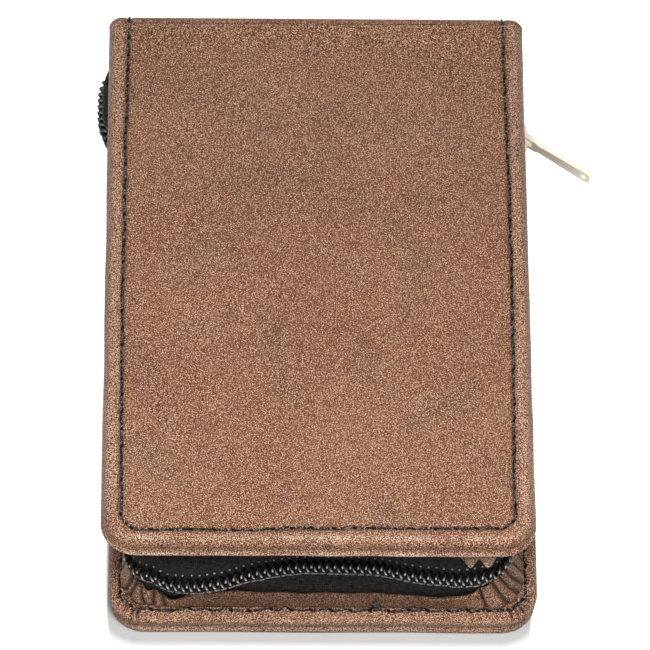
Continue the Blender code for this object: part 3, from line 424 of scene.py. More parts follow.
# %% Cloths and nylon
def woven(name, dark, pale, along, across, depth, rough):
    """Plain weave: the higher of two crossed sets of bands is the thread that lies on top."""
    finish = Finish(name, specular=0.10)
    place = finish.place(own_map=True)
    warp = finish.wave(along, place, "X")
    weft = finish.wave(across, place, "Y")
    height = finish.math("MAXIMUM", finish.math("MULTIPLY", warp, 0.8), weft)
    fluff = finish.noise(along * 2.2, place, detail=3.0, roughness=0.7)
    fluff = finish.spread(fluff, 0.36, 0.66, 0.05, 1.0)
    colour = finish.blend(finish.math("MULTIPLY", finish.spread(height, 0.35, 1.0), fluff), dark, pale)
    return finish.wear(colour, rough, finish.bump(height, depth, 0.9))


def waxed_thread(name, dark, pale):
    """Dark wax with paler fibres where a fine noise is high, which stand for glints on the twist: painted
    glints.
    """
    finish = Finish(name, roughness=0.38, specular=0.12)
    place = finish.place()
    fibres = finish.noise(0.3 * MM, place, detail=2.0, roughness=0.6)
    colour = finish.blend(finish.spread(fibres, 0.52, 0.70), dark, pale)
    return finish.wear(colour, None, finish.bump(fibres, 0.05 * MM, 0.7))


def glossy_nylon():
    """Black and glossy, with painted glints: nearly white where the loops carry the mark."""
    finish = Finish("glossy_nylon", specular=0.12)
    place = finish.place()
    haze = finish.noise(0.5 * MM, place, detail=2.0)
    roughness = finish.spread(haze, 0.3, 0.7, 0.13, 0.26)
    # Painted glints: the mark turns the black nearly white.
    colour = finish.blend(finish.mark("wear_and_highlight"), rgb(0.004, 0.004, 0.005), rgb(0.95, 0.94, 0.92))
    return finish.wear(colour, roughness, finish.bump(haze, 0.02 * MM, 0.4))


# The pale fibres of this thread are painted glints.
THREAD = waxed_thread("waxed_thread", rgb(0.005, 0.004, 0.003), rgb(0.42, 0.38, 0.35))
# Near-black thread for the pieces at the needle holes: painted shade.
DARK_THREAD = waxed_thread("waxed_thread_in_shade", rgb(0.002, 0.001, 0.001), rgb(0.006, 0.004, 0.004))
NYLON = glossy_nylon()
TAPE, ELASTIC, LINING = (
    woven(name, rgb(*dark), rgb(*pale), along * MM, across * MM, depth * MM, rough)
    for name, dark, pale, along, across, depth, rough in (
        ("zip_tape_weave", (0.004, 0.004, 0.005), (0.062, 0.055, 0.050), 0.36, 0.30, 0.08, 0.85),
        ("ribbed_elastic", (0.006, 0.006, 0.006), (0.045, 0.044, 0.044), 0.4, 0.9, 0.09, 0.75),
        ("lining_cloth", (0.008, 0.007, 0.007), (0.05, 0.047, 0.046), 0.38, 0.38, 0.05, 0.8),
    )
)
print("cloths:", TAPE.name, ELASTIC.name, LINING.name)

# %% [markdown]
# ### Metals, plastic and what lies inside
#
# Plated tools are bright with faint polishing lines along them, stretched noise being enough for
# that. The pull is a pale gold plate, warmer and a little softer. The file has crossed cuts. Board
# and foam are hidden unless a cover is taken apart, but they get their real look too.

# %% Metals and inner layers
def polished(name, colour, low, high, stretch=(1.0, 0.06, 1.0), metallic=1.0):
    """Metal whose roughness and bump vary in fine lines along the case."""
    finish = Finish(name, metallic=metallic)
    lines = finish.noise(0.18 * MM, finish.place(stretch), detail=3.0)
    smudge = finish.noise(6 * MM, finish.place(), detail=2.0)
    smudge = finish.math("MULTIPLY", smudge, 0.08)
    roughness = finish.math("ADD", finish.spread(lines, 0.3, 0.7, low, high), smudge)
    return finish.wear(colour, roughness, finish.bump(lines, 0.008 * MM, 0.4))


def cross_cut():
    """File teeth: two sets of slanting grooves that cross."""
    finish = Finish("file_teeth", metallic=1.0)
    place = finish.place()
    turned = lambda turn: finish.add("Mapping", {"Vector": place, "Rotation": (0, 0, turn)}).outputs[0]
    one, two = (finish.wave(0.45 * MM, turned(turn)) for turn in (0.7, -0.6))
    teeth = finish.math("MULTIPLY", one, two)
    colour = finish.blend(teeth, rgb(0.30, 0.30, 0.31), rgb(0.66, 0.66, 0.68))
    return finish.wear(colour, finish.spread(teeth, 0.0, 1.0, 0.62, 0.4), finish.bump(teeth, 0.14 * MM, 0.9))


def plain(name, one, other, size, rough, depth):
    """A matt stuff in two close colours, mottled and pitted at one size."""
    finish = Finish(name, specular=0.3)
    fleck = finish.noise(size, finish.place(), detail=4.0, roughness=0.6)
    colour = finish.blend(finish.spread(fleck, 0.35, 0.65), one, other)
    return finish.wear(colour, rough, finish.bump(fleck, depth, 0.8))


STEEL = polished("plated_steel", rgb(0.60, 0.60, 0.62), 0.12, 0.24)
PALE_GOLD = polished("pale_gold_plate", rgb(0.98, 0.93, 0.78), 0.34, 0.46, metallic=0.4)
FILE_TEETH = cross_cut()
GRIP = plain("grip_plastic", rgb(0.010, 0.010, 0.011), rgb(0.022, 0.022, 0.024), 0.6 * MM, 0.42, 0.02 * MM)
BOARD = plain("black_board", rgb(0.018, 0.016, 0.015), rgb(0.040, 0.036, 0.033), 0.8 * MM, 0.9, 0.05 * MM)
FOAM = plain("white_foam", rgb(0.68, 0.67, 0.62), rgb(0.84, 0.83, 0.79), 0.5 * MM, 0.95, 0.12 * MM)
print("metals:", STEEL.name, PALE_GOLD.name, FILE_TEETH.name)

# %% [markdown]
# ## The case's measures
#
# The covers are 5 mm thick pads, 76 by 114 mm, joined by a 3 mm spine. In the photograph the top
# cover has slipped about a millimetre to the left of the bottom one, as such soft cases do. The
# same small lean is given to every soft piece of the shell, as a function of height alone, so that
# the pieces still meet.

# %% Measures
HALF_WIDTH = 38.0 * MM
HALF_LENGTH = 57.0 * MM
HEIGHT = 30.0 * MM
MIDDLE = HEIGHT / 2
PANEL = 5.0 * MM
CORNER = 6.5 * MM
ROUND = 2.2 * MM
HIDE = 0.9 * MM
SPINE = 3.0 * MM
RETURN = 8.0 * MM
LEAN = 0.6 * MM
SIDES = {"back": (False, "back_cover"), "front": (True, "front_cover")}
ROW_WORD = {"back": "lower", "front": "upper"}


def raised(depth, top):
    """Height of something that lies a depth inside a cover's outer face."""
    return HEIGHT - depth if top else depth


def leaned(points):
    """Shifts points sideways: the bottom cover one way, the top the other, even in between."""
    moved = points.copy()
    share = (MIDDLE - points[..., 2]) / (MIDDLE - PANEL)
    moved[..., 0] += LEAN * np.clip(share, -1.0, 1.0)
    return moved


print("cover thickness in mm:", PANEL / MM, "lean in mm:", LEAN / MM)

# %% [markdown]
# ## Leather covers
#
# A cover's skin is one closed sheet of leather 0.9 mm thick, wrapped round foam and board. A box
# with bevelled edges would miss its soft section, so the section is drawn first: from the middle of
# the face, over a shallow stitched groove and a full rounded edge, into a slightly hollow wall, out
# to a thin lip, and back under the rim to the lining's window. Every point of the section becomes
# a ring round the cover, and the rings shrink to a slit in the middle, which closes the skin.

# %% Cover rings
STITCH_INSET = 3.5 * MM
SPINE_SEAM_INSET = STITCH_INSET + 0.45 * MM
GROOVE, GROOVE_HALF = 0.34 * MM, 0.40 * MM
FACE_DROP = 0.12 * MM
LINING_WINDOW = 43.1 * MM
BELOW_FOAM = 4.1
LEATHER_INSIDE = 1.0
FOLD = HALF_LENGTH - ROUND
SIDE_STEPS, BEND_STEPS, FRONT_STEPS, FAR_STEPS = 86, 56, 56, 40
EDGE_SECTION = {
    "front": np.array([
        (2.90, 0.12), (2.30, 0.0), (1.70, 0.08), (1.20, 0.34), (0.86, 0.78), (0.72, 1.30), (0.69, 1.80),
        (0.58, 2.30), (0.36, 2.70), (0.20, 3.02), (0.26, 3.40), (0.60, 3.85), (1.00, 4.30), (1.40, 4.75),
        (1.80, 5.00),
    ]) * MM,
    "back": np.array([
        (2.90, 0.03), (1.90, 0.0), (1.30, 0.02), (0.80, 0.10), (0.50, 0.32), (0.42, 0.65), (0.50, 1.10),
        (0.68, 1.70), (0.66, 2.30), (0.45, 2.80), (0.22, 3.30), (0.12, 3.80), (0.25, 4.30), (0.65, 4.75),
        (1.20, 4.97), (1.80, 5.00),
    ]) * MM,
}


def rings(inset, far, half=HALF_WIDTH, front=-HALF_LENGTH, corner=CORNER):
    """One outline per inset: down the left side, round the front, up the right side, back behind.

    A corner is an arc of the corner's radius less the inset; straight stretches share their points
    evenly. far is the y of each outline's back stretch.
    """
    d = inset[:, None]
    wide = half - d
    bend = np.minimum(np.maximum(corner - d, 0.25 * MM), wide)
    near = front + d
    side = np.linspace(0.0, 1.0, SIDE_STEPS)[None, :-1]
    turn = np.linspace(0.0, np.pi / 2, BEND_STEPS)[None, :-1]
    cross = np.linspace(-1.0, 1.0, FRONT_STEPS)[None, :-1]
    behind = np.linspace(1.0, -1.0, FAR_STEPS)[None, :]
    start = far[:, None]
    knee = near + bend
    x = np.hstack((
        -wide + 0 * side, -wide + bend * (1 - np.cos(turn)), (wide - bend) * cross,
        wide - bend * (1 - np.sin(turn)), wide + 0 * side, wide * behind,
    ))
    y = np.hstack((
        start + (knee - start) * side, knee - bend * np.sin(turn), near + 0 * cross,
        knee - bend * np.cos(turn), knee + (start - knee) * side, start + 0 * behind,
    ))
    return x, y


def edge_distance(x, y):
    """Distance in from the nearest of the three open edges, measured along a radius at corners."""
    wide = np.abs(x)
    straight = np.minimum(HALF_WIDTH - wide, y + HALF_LENGTH)
    out_x = wide - (HALF_WIDTH - CORNER)
    out_y = (CORNER - HALF_LENGTH) - y
    in_corner = (out_x > 0) & (out_y > 0)
    return np.where(in_corner, CORNER - np.hypot(out_x, out_y), straight)


def stitch_inset(x, y):
    """The seam lies a little further in behind on both sides and before on the right, and in front."""
    far = np.clip(y / HALF_LENGTH, 0.0, 1.0) ** 2
    near = ramp(-y, 10 * MM, 47 * MM)
    right = np.clip(x / (12 * MM), -1.0, 1.0) * 0.5 + 0.5
    bend = ramp(np.abs(x), 31 * MM, 3 * MM) * ramp(-y, 50.5 * MM, 2 * MM)
    return STITCH_INSET + (0.45 * far + 0.55 * near * right + 0.2 * near + 0.5 * bend) * MM


def cover_section(prefix):
    """Insets, depths below the outer face and back edges of the rings, outer skin then inner."""
    far_flat = np.linspace(HALF_WIDTH, 5.2 * MM, 30)
    stitched = np.linspace(4.9 * MM, 3.05 * MM, 12)
    face = np.concatenate((far_flat, stitched))
    edge = smooth_line(EDGE_SECTION[prefix], 44)
    under = np.array([2.0, 4.5, 7.6, 8.0]) * MM
    outer = np.vstack((
        np.column_stack((face, np.full(len(face), FACE_DROP))),
        edge,
        np.column_stack((under, np.full(len(under), PANEL))),
    ))
    back = FOLD - np.maximum(outer[:, 0] - ROUND, 0.0)
    back[len(face):] = FOLD - np.maximum(outer[len(face):, 1] - ROUND, 0.0)
    back[-len(under):] = np.interp(under, (0.7 * MM, RETURN), (FOLD - (PANEL - ROUND), LINING_WINDOW))
    inner = np.array([
        (8.0, BELOW_FOAM), (4.0, BELOW_FOAM), (1.6, BELOW_FOAM), (1.25, 3.9), (1.2, 3.0), (1.2, 2.0),
        (1.5, 1.3), (2.2, LEATHER_INSIDE), (3.5, 1.2), (8.0, LEATHER_INSIDE), (20.0, LEATHER_INSIDE),
        (38.0, LEATHER_INSIDE),
    ]) * MM
    slope = HIDE * np.sqrt(2.0)
    inner_back = np.minimum(FOLD - HIDE, FOLD - (inner[:, 1] - ROUND) - slope)
    inner_back[:3] = (LINING_WINDOW, LINING_WINDOW + 4 * MM, FOLD - (inner[2, 1] - ROUND) - slope)
    inner_back[-4:] = FOLD - HIDE - (inner[-4:, 0] - ROUND)
    return np.vstack((outer, inner)), np.concatenate((back, inner_back)), len(outer), len(face)


def creases(x, y, angles, seed):
    """Radial creases at a front corner: narrow valleys at given angles, deepest on top of the rim."""
    chance = np.random.default_rng(seed)
    side = np.sign(x)
    out_x = np.abs(x) - (HALF_WIDTH - CORNER)
    out_y = (CORNER - HALF_LENGTH) - y
    angle = np.degrees(np.arctan2(out_y, out_x))
    inset = edge_distance(x, y)
    total = np.zeros_like(x)
    for corner, places in angles.items():
        for place in places:
            width = chance.uniform(2.0, 3.2)
            depth = chance.uniform(0.35, 0.75) * MM
            middle = chance.uniform(1.1, 1.9) * MM
            valley = bell(angle, place, width) * bell(inset, middle, 0.9 * MM)
            near = (side == corner) & (out_x > -2.5 * MM) & (out_y > -2.5 * MM)
            total += np.where(near, depth * valley, 0.0)
    return total


CORNER_CREASES = {
    "back": {-1: (20, 31, 43, 52, 66, 76), 1: (12, 24, 37, 46, 58, 71)},
    "front": {-1: (), 1: ()},
}


def fuller(x, depth, share):
    """Pushes the side wall out to nearly the full width, so that the far corners come out round."""
    wide = np.abs(x)
    lower = ramp(depth, 0.5 * MM, 0.9 * MM) * (wide > 36.95 * MM) * (depth < 3.5 * MM)
    return np.sign(x) * (wide + (HALF_WIDTH - 0.22 * MM - wide) * share * lower)


def leather_cover(prefix):
    """Rings of the section, then a groove under the stitches, soft waves and corner creases."""
    top, body = SIDES[prefix]
    section, back, outer_count, face_count = cover_section(prefix)
    x, y = rings(section[:, 0], back)
    depth = np.repeat(section[:, 1:], x.shape[1], axis=1)
    beside = ramp(np.abs(x), 37.4 * MM, 0.2 * MM)
    near_fold = ramp(y, FOLD - 6 * MM, 6 * MM)
    y = y + (FOLD + 0.3 * MM - back[:, None]) * beside * near_fold
    x = fuller(x, depth, near_fold**2)
    inset = edge_distance(x, y)
    groove = GROOVE * bell(inset, stitch_inset(x, y), GROOVE_HALF)
    level = FACE_DROP * np.clip(1.0 - (FOLD - y) / (8 * MM), 0.0, 1.0)
    swell = 0.12 * MM * bell(inset, 2.2 * MM, 0.8 * MM)
    waves = ripple(x, y, 3 if top else 4, 0.035 * MM, 17 * MM)
    skin = np.zeros_like(depth)
    skin[:face_count] = 1.0
    fade = ramp(inset, 2.0 * MM, 3.0 * MM) * (1.0 - level / FACE_DROP)
    stitched = groove - swell * fade if top else 0.0
    depth = depth + skin * (stitched + np.abs(waves) * fade - level)
    outer = np.zeros_like(depth)
    outer[:outer_count] = 1.0
    fold = creases(x, y, CORNER_CREASES[prefix], 11) * outer
    wobble = ripple(x, y, 21 if top else 22, 0.10 * MM, 26 * MM) * np.exp(-inset / (4 * MM))
    wobble = wobble * (y < FOLD - 9 * MM)
    pull_in = (fold * 0.25 + np.abs(wobble)) / np.maximum(np.hypot(x, y), MM)
    depth = np.where(depth > PANEL - 0.7 * MM, depth - fold, depth)
    points = np.stack((x * (1 - pull_in), y * (1 - pull_in), raised(depth, top)), axis=-1)
    # Edge wear with painted highlights on the rounded edges, made patchy by a slow ripple.
    patchiness = 0.6 + 0.4 * ripple(x, y, 15, 0.7, 9 * MM)
    wall = 1.0 - skin
    # One at the front, small on the sides: the painted highlight on the ridge and the painted shade on the
    # wall are strong at the front, and the side walls get painted light instead.
    ahead = np.clip((-y - 46 * MM) / (6 * MM), 0.12, 1.0)
    if top:
        ridge = 0.62 * bell(inset, 1.95 * MM, 0.6 * MM) * (depth < 0.6 * MM) * ahead
        lip = wall * 0.95 * bell(depth, 3.02 * MM, 0.46 * MM)
        wear_and_highlight = patchiness * (ridge + lip) + wall * 0.22 * (1.0 - ahead)
        # Painted shade on the wall below the ridge, which turns away from the lamps.
        dark = wall * (0.26 * ahead + 0.06) * bell(depth, 1.45 * MM, 0.65 * MM)
    else:
        # The bottom cover's lip and rim: edge wear with painted highlights, and painted light on its wall.
        lip = 0.16 * bell(depth, 4.5 * MM, 0.4 * MM) * (inset < 1.2 * MM)
        wear_and_highlight = patchiness * wall * (lip + 0.5 * bell(depth, 1.1 * MM, 0.7 * MM)) + wall * 0.10
        dark = 0.0
    # Painted shade in the corner creases, on the dark band of the wall and in the stitch groove.
    painted_shade = 1.6 * fold / MM + dark + skin * (1.9 * groove / MM if top else 0.0)
    return make_piece(
        prefix + "_leather_skin", leaned(points), LEATHER, body,
        sharp=55.0, stands_for=(prefix + "_cover_leather",), marks={"painted_shade": painted_shade, "wear_and_highlight": wear_and_highlight * outer},
    )


for prefix in SIDES:
    leather_cover(prefix)

# %% [markdown]
# ## Spine and folds
#
# The same leather goes on over the far edge and down the spine. Each half of it starts flush with a
# cover, turns through a quarter circle and runs straight to the middle of the spine.

# %% Spine halves
def spine_section(prefix):
    """Closed outline across the spine: x and depth below the outer face, outside then inside."""
    edge = EDGE_SECTION[prefix][1:]
    down = np.array([2.3, 1.9, 1.5, 1.1, 0.75, 0.45, 0.2, 0.05]) * MM
    right = np.column_stack((HALF_WIDTH - np.interp(down, edge[:, 1], edge[:, 0]), down))
    seam_x = HALF_WIDTH - SPINE_SEAM_INSET
    spread = np.linspace(-1.1, 1.1, 12) * MM
    middle = np.linspace(-31.0, 31.0, 38) * MM
    flat = np.sort(np.concatenate((middle, seam_x + spread, -seam_x - spread)))[::-1]
    lip = np.array([(34.0, 3.0), (36.9, 3.0), (37.3, 2.85), (37.42, 2.6)]) * MM
    within = np.array([(36.7, 2.1), (36.7, 1.6), (36.4, 1.15), (35.9, 1.0)]) * MM
    ends = np.array([(34.0, 2.1)]) * MM
    mirror = (-1, 1)
    return np.vstack((
        lip, right, np.column_stack((flat, 0 * flat)), right[::-1] * mirror, lip[::-1] * mirror,
        ends * mirror, within * mirror, within[::-1], ends, lip[:1],
    ))


def bend_at_fold(piece):
    """Bakes the piece's placement into its mesh."""
    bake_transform(piece)


def spine_half(prefix):
    """The section carried round a quarter circle and down: depth shortens the circle's radius."""
    top = SIDES[prefix][0]
    section = spine_section(prefix)
    section[:, 0] = fuller(section[:, 0], section[:, 1], 1.0)
    groove = GROOVE * bell(HALF_WIDTH - np.abs(section[:, 0]), SPINE_SEAM_INSET, GROOVE_HALF)
    section[:, 1] += np.where((section[:, 1] < 0.02 * MM) & top, groove, 0.0)
    turn = np.linspace(0.0, np.pi / 2, 11)
    close, wide_apart = np.linspace(0.0, 1.2 * MM, 7), np.linspace(1.2 * MM, MIDDLE - ROUND, 14)
    down = np.concatenate((close[1:], wide_apart[1:]))
    angle = np.concatenate((turn, np.full(len(down), np.pi / 2)))[:, None]
    drop = np.concatenate((np.zeros(len(turn)), down))[:, None]
    limit = np.minimum(ROUND - 0.1 * MM + drop * 0.95, SPINE)
    opened = ramp(limit, 2.1 * MM, SPINE - 2.1 * MM)
    x = np.repeat(section[None, :, 0], len(angle), axis=0)
    wide = np.abs(x)
    returned = (section[None, :, 1] > 2.05 * MM) & (wide < 37.1 * MM)
    x = np.where(returned, np.sign(x) * (36.7 * MM + (wide - 36.7 * MM) * opened), x)
    depth = np.minimum(section[None, :, 1], limit)
    y = FOLD + (ROUND - depth) * np.sin(angle)
    sunk = ROUND - (ROUND - depth) * np.cos(angle) + drop
    sway = ripple(x, sunk, 31, 0.05 * MM, 22 * MM) * np.clip(drop / (4 * MM), 0.0, 1.0)
    points = np.stack((x, y - np.abs(sway), raised(sunk, top)), axis=-1)
    # Painted shade in the seam's groove.
    shade = np.where((section[:, 1] < 0.36 * MM) & top, 1.9 * groove / MM, 0.0)[None, :]
    piece = make_piece(
        prefix + "_spine_leather", leaned(points), LEATHER, None,
        caps=True, sharp=55.0, stands_for=("spine_leather",), marks={"painted_shade": shade},
    )
    bend_at_fold(piece)


for prefix in SIDES:
    spine_half(prefix)

# %% [markdown]
# ## Stitches
#
# Each stitch is a short length of twisted thread that rises out of the leather and dips back into
# it. One stitch is worked out on a small grid and then set down many times at once along the seam,
# each with a little chance in its length, lean and thickness. Drawing the seam in the material
# would be cheaper, but it would be flat when the case is seen from the side.

# %% Stitch and seam
def stitch_grid(stations=9, sides=8):
    """Along a share t from -1 to 1 and an angle round: thickness fades at both ends."""
    t = np.linspace(-1.0, 1.0, stations)[:, None]
    angle = np.linspace(0.0, 2 * np.pi, sides + 1)[None, :]
    thick = np.sqrt(np.maximum(1.0 - t**4, 0.0)) * (1.0 + 0.16 * np.cos(2 * angle - 5.0 * t))
    return t + 0 * angle, thick * np.cos(angle), thick * np.sin(angle)


def seam(
    name, line, upward, pitch, thread, body, seed,
    cover=1.0, lean=5.0, dip=0.45, material=THREAD, shift=0.0,
):
    """Stitches along a line of points; upward is the direction out of the surface at each point.

    A stitch covers a share of the pitch, leans by some degrees across the seam and dips at its ends.
    """
    chance = np.random.default_rng(seed)
    along = lengths_along(line)
    count = max(int(round(along[-1] / pitch)), 1)
    pitch = along[-1] / count
    middle = (np.arange(count) + 0.5 + shift) * pitch + chance.normal(0.0, 0.05 * pitch, count)
    take = lambda values: np.stack([np.interp(middle, along, values[:, k]) for k in range(3)], axis=1)
    centre = take(line)
    tangent = unit(take(np.gradient(line, axis=0)))
    side = unit(np.cross(take(upward), tangent))
    up = np.cross(tangent, side)
    turn = np.radians(lean + chance.normal(0.0, 5.0, count))[:, None]
    heading = tangent * np.cos(turn) + side * np.sin(turn)
    across = side * np.cos(turn) - tangent * np.sin(turn)
    half = pitch * cover / 2 * chance.uniform(0.88, 1.08, count)
    thick = thread * chance.uniform(0.85, 1.12, count)
    centre = centre + side * chance.normal(0.0, 0.07 * MM, count)[:, None]
    t, a, b = stitch_grid()
    expand = lambda v: v[:, None, None, :]
    scale = lambda v: v[:, None, None, None]
    arch = (0.35 - dip * t**2)[None, :, :, None]
    points = (
        expand(centre) + expand(heading) * t[None, ..., None] * scale(half)
        + expand(across) * a[None, ..., None] * scale(thick)
        + expand(up) * (b[None, ..., None] + arch) * scale(thick)
    )
    return make_piece(name, leaned(points), material, body, sharp=80.0)


def cover_seam_line(inset, back, top, depth):
    """The seam's path: up one side, round the front corners and up the other side."""
    x, y = rings(np.array([inset]), np.array([back]))
    keep = 2 * SIDE_STEPS + 2 * BEND_STEPS + FRONT_STEPS - 5
    line = np.stack((x[0, :keep], y[0, :keep], np.full(keep, raised(depth, top))), axis=1)
    outward = np.zeros_like(line)
    outward[:, 2] = 1.0 if top else -1.0
    return line, outward


def sideways(line, amount):
    """Moves each point of a line level and square to it, inwards where the amount is positive."""
    tangent = unit(np.gradient(line, axis=0))
    aside = np.stack((-tangent[:, 1], tangent[:, 0], np.zeros(len(line))), axis=1)
    return line + aside * amount[:, None]


def wandering(line, seed, size, wave):
    """Lets a seam wander sideways a little, as a machine's needle does on soft leather."""
    return sideways(line, ripple(lengths_along(line), 0.0, seed, size, wave))


STITCH_PITCH = 3.5 * MM
THREAD_RADIUS = 0.22 * MM
for prefix, depth, seed in (("front", 0.36 * MM, 5), ("back", -0.05 * MM, 6)):
    top, body = SIDES[prefix]
    line, up = cover_seam_line(STITCH_INSET, FOLD, top, depth)
    line = sideways(line, stitch_inset(line[:, 0], line[:, 1]) - STITCH_INSET)
    line = wandering(line, seed, 0.15 * MM, 13 * MM)
    seam(
        prefix + "_stitches", line, up, STITCH_PITCH, THREAD_RADIUS, body, 36 + seed,
        cover=1.03, dip=0.55,
    )
    # Short near-black pieces between the stitches, at the needle holes: painted shade where the thread dips
    # into the leather.
    seam(
        prefix + "_stitch_hole_shade", line, up, STITCH_PITCH, THREAD_RADIUS * 1.1, body,
        36 + seed, cover=0.27, lean=-24.0, dip=0.1, material=DARK_THREAD, shift=0.5,
    )

# %% [markdown]
# The cover's seam doesn't stop at the fold: it holds the lining in all round, so it runs on over the
# rounded edge and across the spine.

# %% Seam across the spine
SEAM_LOW = 0.10 * MM
SEAM_LEAD = 1.5 * MM

for prefix, seed in (("front", 47), ("back", 48)):
    top, body = SIDES[prefix]
    turn = np.linspace(0.0, np.pi / 2, 24)
    drop = np.linspace(0.0, MIDDLE - ROUND, 40)[1:]
    facing = 1.0 if top else -1.0
    low = facing * SEAM_LOW
    radius = ROUND - low
    lead = np.linspace(-SEAM_LEAD, 0.0, 8)[:-1]
    y = np.concatenate((FOLD + lead, FOLD + radius * np.sin(turn), np.full(len(drop), HALF_LENGTH - low)))
    sunk = np.concatenate((low + 0 * lead, ROUND - radius * np.cos(turn), ROUND + drop))
    out_y = np.concatenate((0 * lead, np.sin(turn), np.ones(len(drop))))
    out_z = np.concatenate((1 + 0 * lead, np.cos(turn), np.zeros(len(drop)))) * facing
    for side, word in ((-1, "left"), (1, "right")):
        x = side * (HALF_WIDTH - SPINE_SEAM_INSET) + 0 * y
        line = np.stack((x, y, raised(sunk, top)), axis=1)
        up = np.stack((0 * y, out_y, out_z), axis=1)
        piece = seam(
            f"{prefix}_spine_stitches_{word}", line, up, STITCH_PITCH / 2, THREAD_RADIUS, None,
            seed + side, cover=1.1, dip=0.5,
        )
        bend_at_fold(piece)

# %% [markdown]
# ## The path of the zip
#
# Strips, tapes and coils all follow one path: from the spine down the left side, round the front
# and up to the spine again. A point on it is an anchor on an inner line plus an outward reach. The
# zip doesn't lie straight: along the front it swings in and out, and on the left it bulges past
# the covers.

# %% Path formulas
BEND_RADIUS = 8.5 * MM
CHAIN_INSET = 4.2 * MM
FOOT_INSET = 3.0 * MM
SLIDER_INSET = 5.0 * MM
KNEE = 6.2 * MM
RIM = PANEL + 0.3 * MM
SPINE_GAP = 0.5 * MM
SIDE_RUN = HALF_LENGTH - SPINE - SPINE_GAP + HALF_LENGTH - BEND_RADIUS
BEND_RUN = np.pi / 2 * (BEND_RADIUS - CHAIN_INSET)
FRONT_RUN = 2 * (HALF_WIDTH - BEND_RADIUS)
RUN = 2 * (SIDE_RUN + BEND_RUN) + FRONT_RUN
FRONT_SWING = np.array([
    (-29.5, 3.35), (-26.5, 1.70), (-22.7, 1.30), (-17.7, 2.00), (-13.0, 3.55), (-9.5, 4.40), (-4.3, 5.30),
    (0.0, 5.45), (9.3, 5.15), (12.6, 4.50), (17.0, 3.55), (21.0, 3.10), (24.4, 2.80), (27.5, 3.20),
    (29.5, 3.80),
]) * MM
BULGE_Y, BULGE_HALF, BULGE_OUT = 45.8 * MM, 9.3 * MM, 5.9 * MM
SLIDER_Y = 40.0 * MM
FRONT_START, FRONT_END = SIDE_RUN + BEND_RUN, RUN - SIDE_RUN - BEND_RUN


def station(s):
    """Anchor and outward angle at a distance s: two straight sides, a front and two bends."""
    half = HALF_WIDTH - BEND_RADIUS
    front = BEND_RADIUS - HALF_LENGTH
    marks = np.cumsum((0.0, SIDE_RUN, BEND_RUN, FRONT_RUN, BEND_RUN, SIDE_RUN))
    x = np.interp(s, marks, (-half, -half, -half, half, half, half))
    y = np.interp(s, marks, (front + SIDE_RUN, front, front, front, front, front + SIDE_RUN))
    angle = np.interp(s, marks, (np.pi, np.pi, 1.5 * np.pi, 1.5 * np.pi, 2 * np.pi, 2 * np.pi))
    return x, y, angle


def chain_inset(s):
    """How far in from the edge the zip lies: a table along the front and a blunt bell on the left."""
    x, y, _ = station(s)
    swing = smooth_line(FRONT_SWING, 200)
    along_front = FRONT_START + swing[:, 0] - swing[0, 0]
    place = np.concatenate(((SIDE_RUN,), along_front, (FRONT_END + BEND_RUN * 0.6,)))
    inset = np.interp(s, place, np.concatenate(((CHAIN_INSET,), swing[:, 1], (SLIDER_INSET,))))
    return inset - np.where(s < SIDE_RUN, BULGE_OUT * np.exp(-(((y - BULGE_Y) / BULGE_HALF) ** 4)), 0.0)


def on_path(s, inset, height, top):
    """The point at an inset and a height above a cover's rim, at a distance s along the path."""
    x, y, angle = station(s)
    reach = BEND_RADIUS - inset
    z = raised(RIM + height, top) + 0 * reach
    return np.stack((x + reach * np.cos(angle), y + reach * np.sin(angle), z), axis=-1)


def outward(s):
    """Unit direction out of the case at a distance along the path."""
    _, _, angle = station(s)
    return np.stack((np.cos(angle), np.sin(angle), np.zeros_like(angle)), axis=-1)


def front_place(x):
    """Distance along the path of a place on the front, given its x."""
    return FRONT_START + (x + HALF_WIDTH - BEND_RADIUS)


print("path in mm:", round(RUN / MM, 1))

# %% [markdown]
# ## Leather side strips
#
# A narrow strip of the same leather stands up from each rim. It is cut straight, so at the front
# corners it has more length than room and gathers into deep folds. Cloth simulation could find
# such folds, but the photographed ones have known places, so each is a sharp valley across the
# strip, with the leather swelling between two of them.

# %% Side strips
STRIP_THICK = 0.8 * MM
STRIP_HEIGHT = 3.6 * MM
FLANGE_INSET = 7.0 * MM
LEFT_CORNER = SIDE_RUN + BEND_RUN / 2
RIGHT_CORNER = RUN - SIDE_RUN - BEND_RUN / 2
TALL = {
    "back": (
        (LEFT_CORNER, (-14.0, -2.0, -0.5, 1.0, 2.3, 3.9, 5.0, 6.3, 7.6, 8.8, 10.5),
         (6.6, 7.0, 6.4, 4.6, 3.3, 3.9, 2.6, 1.5, 2.1, 3.1, 4.8)),
        (front_place(0.0), (-15.0, -5.0, 8.0, 14.0, 20.0, 25.0), (3.9, 2.7, 2.8, 2.8, 2.2, 3.1)),
        (RIGHT_CORNER, (-6.3, -5.2, -3.0, -1.0, 1.0, 3.0, 14.0), (3.7, 4.6, 6.4, 6.8, 7.2, 7.0, 6.6)),
    ),
    "front": (
        (LEFT_CORNER, (-9.0, 9.0), (1.9, 1.9)),
        (RIGHT_CORNER, (-8.0, -6.6, -5.6, -4.9, -3.6, -2.6, -2.0, 8.0),
         (1.9, 4.3, 3.0, 2.2, 4.8, 3.2, 1.9, 1.9)),
    ),
}
